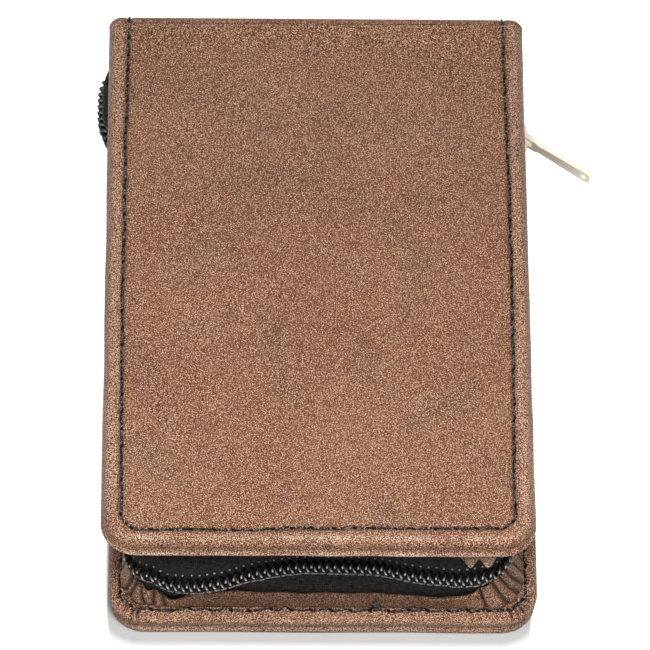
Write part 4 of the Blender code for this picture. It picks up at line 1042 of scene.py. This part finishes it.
FOLDS = {
    "back": (
        (LEFT_CORNER - 4.4 * MM, 1.0, 0.45, 0.1), (LEFT_CORNER - 1.3 * MM, 1.9, 0.45, 0.15),
        (LEFT_CORNER - 0.2 * MM, 1.7, 0.4, 0.12), (LEFT_CORNER + 2.2 * MM, 2.2, 0.45, -0.25),
        (LEFT_CORNER + 3.0 * MM, 1.9, 0.4, 0.1), (LEFT_CORNER + 5.2 * MM, 1.5, 0.45, -0.1),
        (RIGHT_CORNER - 4.0 * MM, 2.2, 0.42, -0.25), (RIGHT_CORNER - 0.9 * MM, 2.3, 0.42, -0.33),
        (RIGHT_CORNER + 1.2 * MM, 2.3, 0.42, -0.40), (RIGHT_CORNER + 2.6 * MM, 2.1, 0.4, -0.28),
        (RIGHT_CORNER + 4.6 * MM, 1.8, 0.4, -0.15), (RIGHT_CORNER + 7.2 * MM, 0.9, 0.5, 0.0),
        (front_place(8.5 * MM), 0.25, 2.0, 0.0), (front_place(-6.0 * MM), 0.2, 2.2, 0.0),
    ),
    "front": (
        (LEFT_CORNER - 3.0 * MM, 1.1, 0.5, 0.4), (LEFT_CORNER, 1.3, 0.5, 0.3),
        (LEFT_CORNER + 3.2 * MM, 1.2, 0.6, -0.4), (RIGHT_CORNER - 2.6 * MM, 1.3, 0.5, 0.5),
        (RIGHT_CORNER + 0.4 * MM, 1.4, 0.5, 0.4), (RIGHT_CORNER + 3.1 * MM, 1.1, 0.5, 0.4),
    ),
}
PEAKS = ((RIGHT_CORNER - 6.6 * MM, 1.1 * MM), (RIGHT_CORNER - 3.6 * MM, 1.0 * MM))


def strip_tall(s, prefix):
    """Height of the strip along the path, read off two short tables and rounded between their marks."""
    places, heights = [], []
    for corner, steps, levels in TALL[prefix]:
        places += [corner + step * MM for step in steps]
        heights += levels
    flat = np.ravel(s)
    near = flat[:, None] + np.linspace(-0.6, 0.6, 7)[None, :] * MM
    return (np.interp(near, places, heights).mean(axis=1) * MM).reshape(np.shape(s))


def strip_inset(s, height):
    """The strip leans from its foot to the zip, but along the front it hardly follows the swing."""
    on_front = ramp(s, FRONT_START, 2 * MM) * ramp(-s, -FRONT_END, 2 * MM)
    chain = chain_inset(s)
    aim = chain + on_front * (3.6 * MM - chain) * 0.65
    return FOOT_INSET + (aim - FOOT_INSET) * np.clip(height / KNEE, 0.0, 1.0)


def fold_lines(s, height, prefix):
    """How dark the shade in the folds is: one at the bottom of each valley."""
    total = np.zeros(np.broadcast(s, height).shape)
    for place, depth, _, slant in FOLDS[prefix]:
        total += min(depth, 1.0) * bell(s, place + slant * height, 0.34 * MM) * (depth > 0.5)
    return total


def strip_push(s, height, prefix):
    """Outward push: sharp valleys at the folds, a swell round the corners, soft waves elsewhere."""
    total = np.zeros(np.broadcast(s, height).shape)
    share = np.clip(height / STRIP_HEIGHT, 0.0, 1.0)
    for place, depth, width, slant in FOLDS[prefix]:
        gap = np.abs(s - place - slant * height) / (width * MM)
        total -= depth * MM * 0.55 * np.exp(-gap) * (0.5 + 0.5 * share)
    for corner in (LEFT_CORNER, RIGHT_CORNER):
        swell = (0.75 if prefix == "back" else 0.1) * MM * bell(s, corner, 6.5 * MM)
        total += swell * np.sin(np.pi * (0.15 + 0.75 * share))
    total += ripple(s, height * 3, 51 if prefix == "back" else 52, 0.09 * MM, 9 * MM) * share
    return total


def side_strip(prefix):
    """Rows along the path; columns go up the outside, over the top, down inside and along the flange."""
    top, body = SIDES[prefix]
    close = np.linspace(-10.0, 10.0, 150) * MM
    s = np.concatenate((np.linspace(0.0, RUN, 210), LEFT_CORNER + close, RIGHT_CORNER + close))
    s = np.unique(s)[:, None]
    share = np.linspace(0.0, 1.0, 13)[None, :]
    tall = strip_tall(s, prefix) + ripple(s, 0.0, 61 if top else 62, 0.09 * MM, 5 * MM)
    height = share * tall
    push = strip_push(s, height, prefix)
    peak = sum(bell(s, place, half) * share for place, half in PEAKS) * top
    push = push + 1.3 * MM * peak
    middle = strip_inset(s + 0 * share, height) - push
    lines = fold_lines(s, height, prefix)
    outer = middle - STRIP_THICK / 2
    inner = (middle + STRIP_THICK / 2)[:, ::-1]
    flange = np.full_like(s, FLANGE_INSET)
    inset = np.hstack((
        flange, outer[:, :1] + 0.3 * MM, outer, middle[:, -1:], inner[:, :-2],
        np.maximum(inner[:, -2:-1], 3.2 * MM), flange, flange,
    ))
    level = np.full_like(s, 0.6 * MM)
    high = np.hstack((
        0 * s, 0 * s, np.maximum(height, 0.12 * MM), tall + 0.22 * MM, height[:, ::-1][:, :-2],
        level, level, 0 * s,
    ))
    points = on_path(s + 0 * inset, inset, high, top)
    at_corner = sum(np.exp(-(((s - corner) / (9 * MM)) ** 4)) for corner in (LEFT_CORNER, RIGHT_CORNER))
    wrap = lambda v: np.hstack((0 * s, 0 * s, v, v[:, -1:], v[:, ::-1][:, :-2], 0 * s, 0 * s, 0 * s))
    # Painted shade: dark lines in the folds, and the middle of the strip darker, as it lies in shade under
    # the cover; at the corners light reaches it.
    painted_shade = wrap(lines + 0.56 * (1.0 - np.minimum(at_corner, 1.0)))
    # Painted highlights on the curled peaks, and painted light on the corners.
    wear_and_highlight = wrap(0.9 * peak**2 + 0.10 * at_corner)
    make_piece(
        prefix + "_leather_strip", leaned(points), SHADED_STRIP_LEATHER, body, caps=True,
        sharp=70.0, stands_for=(ROW_WORD[prefix] + "_side_strip",), marks={"painted_shade": painted_shade, "wear_and_highlight": wear_and_highlight},
    )


for prefix in SIDES:
    side_strip(prefix)

# %% [markdown]
# The rim of the bottom cover is sewn to its strip by a heavier, coarser seam that lies in plain
# view along the front. One thread end stands up from it in a small loop.

# %% Rim seams and the loose thread
RIM_STITCH_INSET = 2.25 * MM
RIM_SEAM_END = 50.0 * MM


def twisted_tube(name, line, radius, material, body, twist, sides=8):
    """An oval of points round each point of a line, square to it and turning, as a two-ply thread."""
    tangent = unit(np.gradient(line, axis=0))
    side = unit(np.cross(tangent, np.array([0.31, 0.87, 0.38])))
    up = np.cross(side, tangent)
    angle = np.linspace(0.0, 2 * np.pi, sides + 1)[None, :]
    phase = (lengths_along(line) * twist)[:, None]
    r = radius * (1.0 + 0.22 * np.cos(2 * (angle - phase)))[..., None]
    ring = side[:, None] * np.cos(angle)[..., None] + up[:, None] * np.sin(angle)[..., None]
    make_piece(name, leaned(line[:, None] + r * ring), material, body, caps=True, sharp=80.0)


for prefix, seed in (("back", 71), ("front", 72)):
    top, body = SIDES[prefix]
    line, up = cover_seam_line(RIM_STITCH_INSET, RIM_SEAM_END, top, PANEL)
    line = wandering(line, seed, 0.13 * MM, 9 * MM)
    seam(
        prefix + "_rim_stitches", line, -up, STITCH_PITCH, 0.26 * MM, body, seed + 10,
        cover=1.05, lean=7.0,
    )
    # At the rim, too, short near-black pieces at the needle holes are painted shade.
    seam(
        prefix + "_rim_hole_shade", line, -up, STITCH_PITCH, 0.28 * MM, body, seed + 10,
        cover=0.3, lean=-26.0, dip=0.1, material=DARK_THREAD, shift=0.5,
    )

loop = np.array([
    (8.2, -54.6, 5.1), (8.8, -54.6, 5.7), (9.4, -54.7, 6.5), (10.0, -54.9, 7.5), (9.8, -55.0, 8.4),
    (9.2, -55.0, 8.6), (9.1, -55.1, 8.0), (9.6, -55.1, 7.4), (10.2, -55.1, 7.0),
]) * MM
twisted_tube("loose_thread", smooth_line(loop, 60), 0.17 * MM, THREAD, "back_cover", 9000.0)

# %% [markdown]
# ## Zip tapes
#
# Each tape is a band of black cloth that comes out of the leather strip, leans to the zip and
# stands upright behind it. A thin grey cord is sewn along it beside the coil: on the bottom tape its
# stitches lie end to end, on the top one only small dots of it show. Both follow the tape's formula.

# %% Tapes
TAPE_THICK = 0.5 * MM
TUCK = 0.6 * MM
ROW = MIDDLE - RIM
TAPE_TOP = ROW - 0.30 * MM
PITCH = 1.36 * MM
CORD_HEIGHT = {"back": ROW - 3.25 * MM, "front": ROW - 2.6 * MM}


def tape_face(s, height, prefix):
    """Inset of the tape's outer face: behind the strip up to its top, then leaning to the coil."""
    top = SIDES[prefix][0]
    offset = STRIP_THICK / 2 + 0.3 * MM
    tall = strip_tall(s, prefix)
    low = np.minimum(height, tall)
    hidden = np.clip(1.0 - (height - tall * 0.8) / (1.8 * MM), 0.0, 1.0)
    follow = strip_push(s, low, prefix) * hidden
    soft = ripple(s, height * 2, 81 if top else 82, 0.10 * MM, 12 * MM)
    soft = np.abs(soft * np.sin(np.pi * ramp(height, TUCK, TAPE_TOP - TUCK)))
    share = ramp(height, tall, np.maximum(KNEE - tall, 1.2 * MM))
    wall = strip_inset(s + 0 * height, height) + offset + soft
    return wall * (1.0 - share) + (chain_inset(s) + 0.4 * MM) * share - np.minimum(follow, 0.0)


def zip_tape(prefix):
    """Rows along the path; the section goes up the outside face and down the inside face."""
    top, body = SIDES[prefix]
    s = np.linspace(0.0, RUN, 420)[:, None]
    height = np.linspace(TUCK, TAPE_TOP, 16)[None, :]
    out = tape_face(s, height, prefix)
    back = out + TAPE_THICK
    inset = np.hstack((out, back[:, ::-1], out[:, :1]))
    high = np.hstack((height, height[:, ::-1], height[:, :1])) + 0 * s
    points = on_path(s + 0 * inset, inset, high, top)
    across = np.concatenate((height[0], 2 * TAPE_TOP - height[0, ::-1], height[0, :1] + 2 * TAPE_TOP))
    uv = np.stack(np.broadcast_arrays(s, across[None, :]), axis=-1)
    make_piece(
        prefix + "_tape", leaned(points), TAPE, body, uv=uv, caps=True, sharp=60.0,
        stands_for=(ROW_WORD[prefix] + "_zip_tape",),
    )


def corded_line(prefix, seed):
    """Small twisted stitches on the tape's face, a little way from the coil."""
    top, body = SIDES[prefix]
    s = np.linspace(1.0 * MM, RUN - 1.0 * MM, 500)
    height = CORD_HEIGHT[prefix]
    inset = tape_face(s[:, None], np.array([[height]]), prefix)[:, 0] - 0.06 * MM
    line = on_path(s, inset, height, top)
    seam(
        prefix + "_tape_cord", line, outward(s), PITCH, 0.15 * MM, body, seed,
        cover=0.3 if top else 1.02, lean=6.0, dip=0.2, material=CORD,
    )


def grey_cord():
    """Grey fibres where a fine noise is high."""
    finish = Finish("grey_cord", roughness=0.45, specular=0.5)
    fibres = finish.noise(0.2 * MM, finish.place(), detail=2.0)
    colour = finish.blend(finish.spread(fibres, 0.4, 0.7), rgb(0.06, 0.052, 0.050), rgb(0.55, 0.50, 0.47))
    return finish.wear(colour, None, finish.bump(fibres, 0.04 * MM, 0.6))


CORD = grey_cord()
for prefix in SIDES:
    zip_tape(prefix)
corded_line("back", 91)
corded_line("front", 92)

# %% [markdown]
# ## The coil
#
# A coil zip is one nylon filament wound as a flat spiral along each tape. The two spirals are half
# a turn apart, so each loop's head lies between two heads of the other row. The spiral is a plain
# formula: up and down as a cosine, in and out as a sine, one pitch on for each turn. The heads are
# marked with painted glints, and on the bulging left side the crowns too.

# %% Coil rows
FILAMENT = 0.25 * MM
ROW_HALF = 0.76 * MM
ROW_DEEP = 0.60 * MM
ROW_CENTRE = 0.60 * MM
COIL_SIDES = 6
TURN_STEPS = 12
HEAD_TURN, HEAD_HALF = 1.5, 0.36
CROWN_TURN, CROWN_HALF = np.pi, 0.5


def coil_row(prefix):
    """A filament of round section carried along the flat spiral, its heads squared a little."""
    top, body = SIDES[prefix]
    turns = int((RUN - 2 * MM) / PITCH)
    theta = np.linspace(0.0, 2 * np.pi * turns, turns * TURN_STEPS + 1)
    s = np.clip(MM + (theta / (2 * np.pi) + (0.5 if top else 0.0)) * PITCH, 0.0, RUN)
    slider_s = RUN - SIDE_RUN + (SLIDER_Y + HALF_LENGTH - BEND_RADIUS)
    open_share = ramp(s, slider_s, 9 * MM)
    rise = np.sign(np.cos(theta)) * np.abs(np.cos(theta)) ** 0.8
    height = ROW - ROW_CENTRE - open_share * 0.35 * MM + ROW_HALF * rise
    depth = ROW_DEEP * np.sin(theta)
    inset = chain_inset(s) - depth - 0.05 * MM
    line = on_path(s, inset, 0.0, top)
    line[:, 2] = raised(RIM + height, top)
    tangent = unit(np.gradient(line, axis=0))
    side = unit(np.cross(tangent, np.cross(outward(s), np.array([0.0, 0.0, 1.0]))))
    over = np.cross(side, tangent)
    angle = np.linspace(0.0, 2 * np.pi, COIL_SIDES + 1)[None, :, None]
    points = line[:, None] + FILAMENT * (side[:, None] * np.cos(angle) + over[:, None] * np.sin(angle))
    phase = np.mod(theta, 2 * np.pi)
    # Painted glints on the heads of the loops, and on the crowns along the bulging left side.
    head = bell(phase, HEAD_TURN, HEAD_HALF)[:, None] * np.cos(angle[..., 0]) ** 4
    crown = bell(phase, CROWN_TURN, CROWN_HALF) * (s < SIDE_RUN) * 0.8 * top
    make_piece(
        prefix + "_coil", leaned(points), NYLON, body, caps=True, sharp=80.0,
        stands_for=(ROW_WORD[prefix] + "_zip_coil",),
        marks={"wear_and_highlight": head + crown[:, None] * np.sin(angle[..., 0]) ** 2},
    )


for prefix in SIDES:
    coil_row(prefix)

# %% [markdown]
# ## Slider, pull and tools
#
# The slider, its pull and the tools are machined or cast, and the frame already has their true
# shapes. Their edges are razor sharp there, though, and real ones are tumbled smooth. So each is
# copied, its loose triangles are merged, and a narrow bevel softens every edge past an angle.

# %% Softened copies of the rigid pieces
BEVEL_ANGLE = 32.0
BEVEL_STEPS = 2


def softened(node, body, material, width):
    """A merged copy of a node's mesh with bevelled edges, standing for the node."""
    mesh = frame["nodes"][node].data.copy()
    mesh.name = node + "_finished"
    mesh.materials.clear()
    shape = bmesh.new()
    shape.from_mesh(mesh)
    bmesh.ops.remove_doubles(shape, verts=shape.verts, dist=MERGE)
    bmesh.ops.dissolve_limit(shape, angle_limit=np.radians(1.0), verts=shape.verts, edges=shape.edges)
    shape.to_mesh(mesh)
    shape.free()
    piece = place_piece(node + "_finished", mesh, material, body, BEVEL_ANGLE, (node,))
    bevel = piece.modifiers.new("tumbled_edges", "BEVEL")
    bevel.width = width
    bevel.segments = BEVEL_STEPS
    bevel.limit_method = "ANGLE"
    bevel.angle_limit = np.radians(BEVEL_ANGLE)
    bevel.use_clamp_overlap = True
    return piece


BODIES = frame["record"]["behaviour"]["bodies"]
BODY_OF = {node: body for body, nodes in BODIES.items() for node in nodes}
SLOT_OF = {part["node"]: part["material_slot"] for part in frame["record"]["subparts"]}
METAL_OF = {"pale_gold": PALE_GOLD, "tool_steel": STEEL, "file_grit": FILE_TEETH, "grip_plastic": GRIP}
BEVEL_OF = {"zip_slider": 0.14 * MM, "zip_pull": 0.16 * MM, "nail_file_grip": 0.3 * MM}
TOOL_BEVEL = 0.12 * MM
rigid = [
    softened(node, BODY_OF[node], METAL_OF[slot], BEVEL_OF.get(node, TOOL_BEVEL))
    for node, slot in SLOT_OF.items()
    if slot in METAL_OF
]
print(len(rigid), "rigid pieces finished")

# %% [markdown]
# ## Elastic bands
#
# Black ribbed elastic is sewn down beside each tool and lifted over it. The band's middle line is
# a run of corners, rounded where the elastic bends. Carried across the band's width with shallow
# ribs, it becomes a closed ribbon.

# %% Bands
BAND_THICK = 0.6 * MM
BAND_HALF = 4.0 * MM
BAND_BEND = 0.8
BAND_RIB = 0.05 * MM
BED = 5.1 * MM
COVER_SPANS = ((-15.0, -7.0, 7.0), (-3.65, 2.85, 2.8), (6.4, 10.4, 4.6))
BAND_SPANS = {
    "base_elastic_upper": (27.0, False, ((-17.15, -4.05, 3.3), (13.6, 27.6, 12.6))),
    "base_elastic_lower": (-8.0, False, ((-23.5, 2.3, 3.3),)),
    "cover_elastic_upper": (13.0, True, ((-28.6, -18.6, 8.9), *COVER_SPANS)),
    "cover_elastic_lower": (-16.0, True, COVER_SPANS),
}
BAND_SLANT, BAND_SEAM, SHARED_SEAM, BAND_ROOM = 1.05, 0.9, 1.3, 0.65


def band_corners(spans):
    """Corners in mm: down at a short seam, up over a tool with room to spare, down again."""
    line = []
    low = BAND_THICK / MM / 2
    for index, (left, right, height) in enumerate(spans):
        sewn = left - BAND_SLANT
        if index == 0:
            line += [(sewn - BAND_SEAM, low), (sewn, low)]
        elif left - spans[index - 1][1] < 2 * (BAND_SLANT + BAND_SEAM):
            centre = (spans[index - 1][1] + left) / 2
            line[-2:] = [(centre - SHARED_SEAM / 2, low), (centre + SHARED_SEAM / 2, low)]
        else:
            line += [(sewn, low)]
        rise = height + BAND_ROOM
        line += [(left - BAND_ROOM, rise), (right + BAND_ROOM, rise)]
        line += [(right + BAND_SLANT, low), (right + BAND_SLANT + BAND_SEAM, low)]
    return np.array(line)


def rounded_line(corners, radius, steps=5):
    """Each inner corner becomes a quadratic curve between points a radius before and after it."""
    before = corners[:-2] - corners[1:-1]
    after = corners[2:] - corners[1:-1]
    span_before = np.linalg.norm(before, axis=1, keepdims=True)
    span_after = np.linalg.norm(after, axis=1, keepdims=True)
    reach = np.minimum(radius, np.minimum(span_before, span_after) / 2.2)
    start = (corners[1:-1] + before / span_before * reach)[:, None]
    end = (corners[1:-1] + after / span_after * reach)[:, None]
    t = np.linspace(0.0, 1.0, steps)[None, :, None]
    curve = start * (1 - t) ** 2 + corners[1:-1][:, None] * 2 * t * (1 - t) + end * t**2
    return np.vstack((corners[:1], curve.reshape(-1, 2), corners[-1:]))


def elastic_band(node):
    """The rounded line offset half a thickness both ways; ribs follow a cosine across the width."""
    place, top, spans = BAND_SPANS[node]
    line = rounded_line(band_corners(spans), BAND_BEND) * MM
    tangent = unit(np.gradient(line, axis=0))
    normal = np.column_stack((-tangent[:, 1], tangent[:, 0]))
    across = np.linspace(-BAND_HALF, BAND_HALF, 49)
    rib = BAND_RIB * np.cos(across / BAND_HALF * 9 * np.pi)
    round_edge = 1.0 - (np.abs(across) / BAND_HALF) ** 14
    half = (BAND_THICK / 2 - BAND_RIB + rib) * (0.35 + 0.65 * round_edge)
    v = np.concatenate((across, across[::-1], across[:1]))
    offset = np.concatenate((half, -half[::-1], half[:1]))
    section = line[:, None] + normal[:, None] * offset[None, :, None]
    depth = BED + section[..., 1]
    y = np.broadcast_to(place * MM + v, depth.shape)
    points = np.stack((section[..., 0], y, raised(depth, top)), axis=-1)
    along = lengths_along(line)[:, None]
    uv = np.stack(np.broadcast_arrays(along, v[None, :]), axis=-1)
    make_piece(
        node + "_ribbed", points, ELASTIC, BODY_OF[node], uv=uv, caps=True,
        sharp=50.0, stands_for=(node,),
    )


for node in BAND_SPANS:
    elastic_band(node)

# %% [markdown]
# ## Linings and padding
#
# The linings are thin cloth pads in the covers' windows and on the spine. Under the leather lie a
# foam sheet and a board. Foam and lining are soft, so crowned sheets with round edges replace the
# frame's plain slabs, and the boards keep their shape and get their own material.

# %% Pads
PAD_CORNER = 4.4 * MM
PAD_ROOM = 0.05 * MM


def rounded_corners(x, y, half):
    """Maps a rectangle's square corners onto quarter discs: each share shrinks as the other grows."""
    x, y = np.broadcast_arrays(x, y)
    radius = min(PAD_CORNER, 0.8 * min(half))
    a = np.clip((np.abs(x) - half[0]) / radius + 1.0, 0.0, 1.0)
    b = np.clip((np.abs(y) - half[1]) / radius + 1.0, 0.0, 1.0)
    move_x = a * (1.0 - np.sqrt(1.0 - b**2 / 2)) * radius
    move_y = b * (1.0 - np.sqrt(1.0 - a**2 / 2)) * radius
    return x - np.sign(x) * move_x, y - np.sign(y) * move_y


def pad(node, material, crown):
    """A crowned sheet in a node's box: two faces that swell in the middle and meet in a round edge."""
    low, high = (np.array(corner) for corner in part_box(node))
    flat_axis = int(np.argmin(high - low))
    others = [axis for axis in range(3) if axis != flat_axis]
    half = (high - low) / 2 - PAD_ROOM
    centre = (high + low) / 2
    u = np.sin(np.linspace(-1.0, 1.0, 41) * np.pi / 2)[:, None]
    v = np.sin(np.linspace(-1.0, 1.0, 61) * np.pi / 2)[None, :]
    edge = np.sqrt(np.maximum(1 - np.abs(u) ** 26, 0.0)) * np.sqrt(np.maximum(1 - np.abs(v) ** 26, 0.0))
    swell = (1 - crown) + crown * (1 - u**2) * (1 - v**2)
    thick = half[flat_axis] * edge * swell
    flat_x, flat_y = u * half[others[0]], v * half[others[1]]
    level_x, level_y = rounded_corners(flat_x, flat_y, half[others])
    sides = []
    for sign in (1.0, -1.0):
        point = np.empty(thick.shape + (3,))
        point[..., others[0]] = centre[others[0]] + level_x
        point[..., others[1]] = centre[others[1]] + level_y
        point[..., flat_axis] = centre[flat_axis] + sign * thick
        sides.append(point)
    uv = np.stack(np.broadcast_arrays(flat_x, flat_y), axis=-1)
    points = np.stack((sides[0], sides[1][::-1]))
    piece = make_piece(
        node + "_sheet", points, material, BODY_OF[node], uv=uv, sharp=60.0, stands_for=(node,)
    )


for node in ("back_lining", "front_lining", "spine_lining"):
    pad(node, LINING, 0.25)
for node in ("back_foam", "front_foam"):
    pad(node, FOAM, 0.15)
for node in ("back_board", "front_board", "spine_stiffener"):
    held = frame["nodes"][node]
    held.data.materials.clear()
    held.data.materials.append(BOARD)
print("boards dressed")

# %% [markdown]
# ## Table, light and background
#
# The case lies on a plain white table. A small lamp and a long one hang low over the near end, which
# gives the near part of the cover more light than the far part, as in the photograph. A low lamp on
# the left lights the folds of the strip, a broad one far behind softens the far edge, and a dim
# world fills the shadows. The floor and the world turn white for the camera, for reflections and
# for glass through Light Path, not through stronger light. The floor's glow starts a few
# millimetres from the case, so that a soft contact shadow is left round it.

# %% Studio
GLOW_START, GLOW_REACH = 1.1 * MM, 4.6 * MM
SIDE_STEEPNESS = 4.5


def white_table():
    """A white floor that glows for the camera: nothing at the case's outline, all a little way off.

    The distance from the outline is that from a rectangle, less the corner's radius, as for a
    rounded rectangle; beside the case it is made to grow faster.
    """
    finish = Finish("white_table", roughness=0.9, specular=0.1)
    finish.wear(rgb(0.55, 0.55, 0.55))
    place = finish.add("SeparateXYZ", {"Vector": finish.add("TexCoord").outputs["Object"]})
    wide = finish.math("ABSOLUTE", place.outputs["X"])
    steep = finish.math("MULTIPLY", finish.over(wide, HALF_WIDTH - MM), SIDE_STEEPNESS)
    beside = finish.math("ADD", finish.over(wide, HALF_WIDTH - CORNER), steep)
    beyond = finish.over(finish.math("ABSOLUTE", place.outputs["Y"]), HALF_LENGTH - CORNER)
    squared = finish.math("ADD", finish.math("POWER", beside, 2.0), finish.math("POWER", beyond, 2.0))
    away = finish.math("SUBTRACT", finish.math("POWER", squared, 0.5), CORNER)
    share = finish.spread(away, GLOW_START, GLOW_REACH)
    glow = finish.add("Emission", {"Strength": finish.math("MULTIPLY", finish.seen(), share)})
    both = finish.add("AddShader")
    finish.links.new(finish.shader.outputs[0], both.inputs[0])
    finish.links.new(glow.outputs[0], both.inputs[1])
    finish.links.new(both.outputs[0], finish.nodes["Material Output"].inputs["Surface"])
    return finish.material


def table_top(half=3.0):
    """One square face, six metres wide."""
    mesh = bpy.data.meshes.new("table")
    corners = [(-half, -half, 0.0), (half, -half, 0.0), (half, half, 0.0), (-half, half, 0.0)]
    mesh.from_pydata(corners, [], [(0, 1, 2, 3)])
    mesh.materials.append(white_table())
    floor = bpy.data.objects.new("table", mesh)
    bpy.context.scene.collection.objects.link(floor)


def lamp(name, place, target, wide, deep, power):
    """An oblong area lamp that faces a target."""
    light = bpy.data.lights.new(name, "AREA")
    light.shape = "RECTANGLE"
    light.size = wide
    light.size_y = deep
    light.energy = power
    holder = bpy.data.objects.new(name, light)
    bpy.context.scene.collection.objects.link(holder)
    back = unit(np.array(place) - np.array(target))
    right = unit(np.cross(np.array([0.0, 1.0, 0.0001]), back))
    pose = np.eye(4)
    pose[:3] = np.column_stack((right, np.cross(back, right), back, place))
    holder.matrix_world = Matrix(pose.tolist())


class Sky(Finish):
    """The same node helpers, on the node tree of a world."""

    def __init__(self, name):
        self.world = bpy.data.worlds.new(name)
        self.world.use_nodes = True
        self.nodes = self.world.node_tree.nodes
        self.links = self.world.node_tree.links


def white_world(strength):
    """Even white light, and plain white where the camera, a reflection or glass sees it."""
    sky = Sky("studio")
    background = sky.nodes["Background"]
    background.inputs["Color"].default_value = rgb(1.0, 1.0, 1.0)
    sky.join(sky.spread(sky.seen(), 0.0, 1.0, strength, 1.0), background.inputs["Strength"])
    bpy.context.scene.world = sky.world


table_top()
lamp("near_lamp", (0.02, -0.16, 0.30), (0.0, -0.02, 0.02), 0.10, 0.08, 0.79)
lamp("wide_lamp", (0.0, -0.12, 0.34), (0.0, -0.02, 0.02), 0.60, 0.10, 0.46)
lamp("low_lamp", (-0.30, -0.40, 0.10), (0.02, 0.0, 0.015), 0.30, 0.15, 0.16)
lamp("far_fill", (-0.1, 0.45, 0.6), (0.0, 0.0, 0.02), 0.5, 0.5, 0.5)
white_world(0.20)
bpy.context.scene.view_settings.view_transform = "Standard"
print("studio ready")
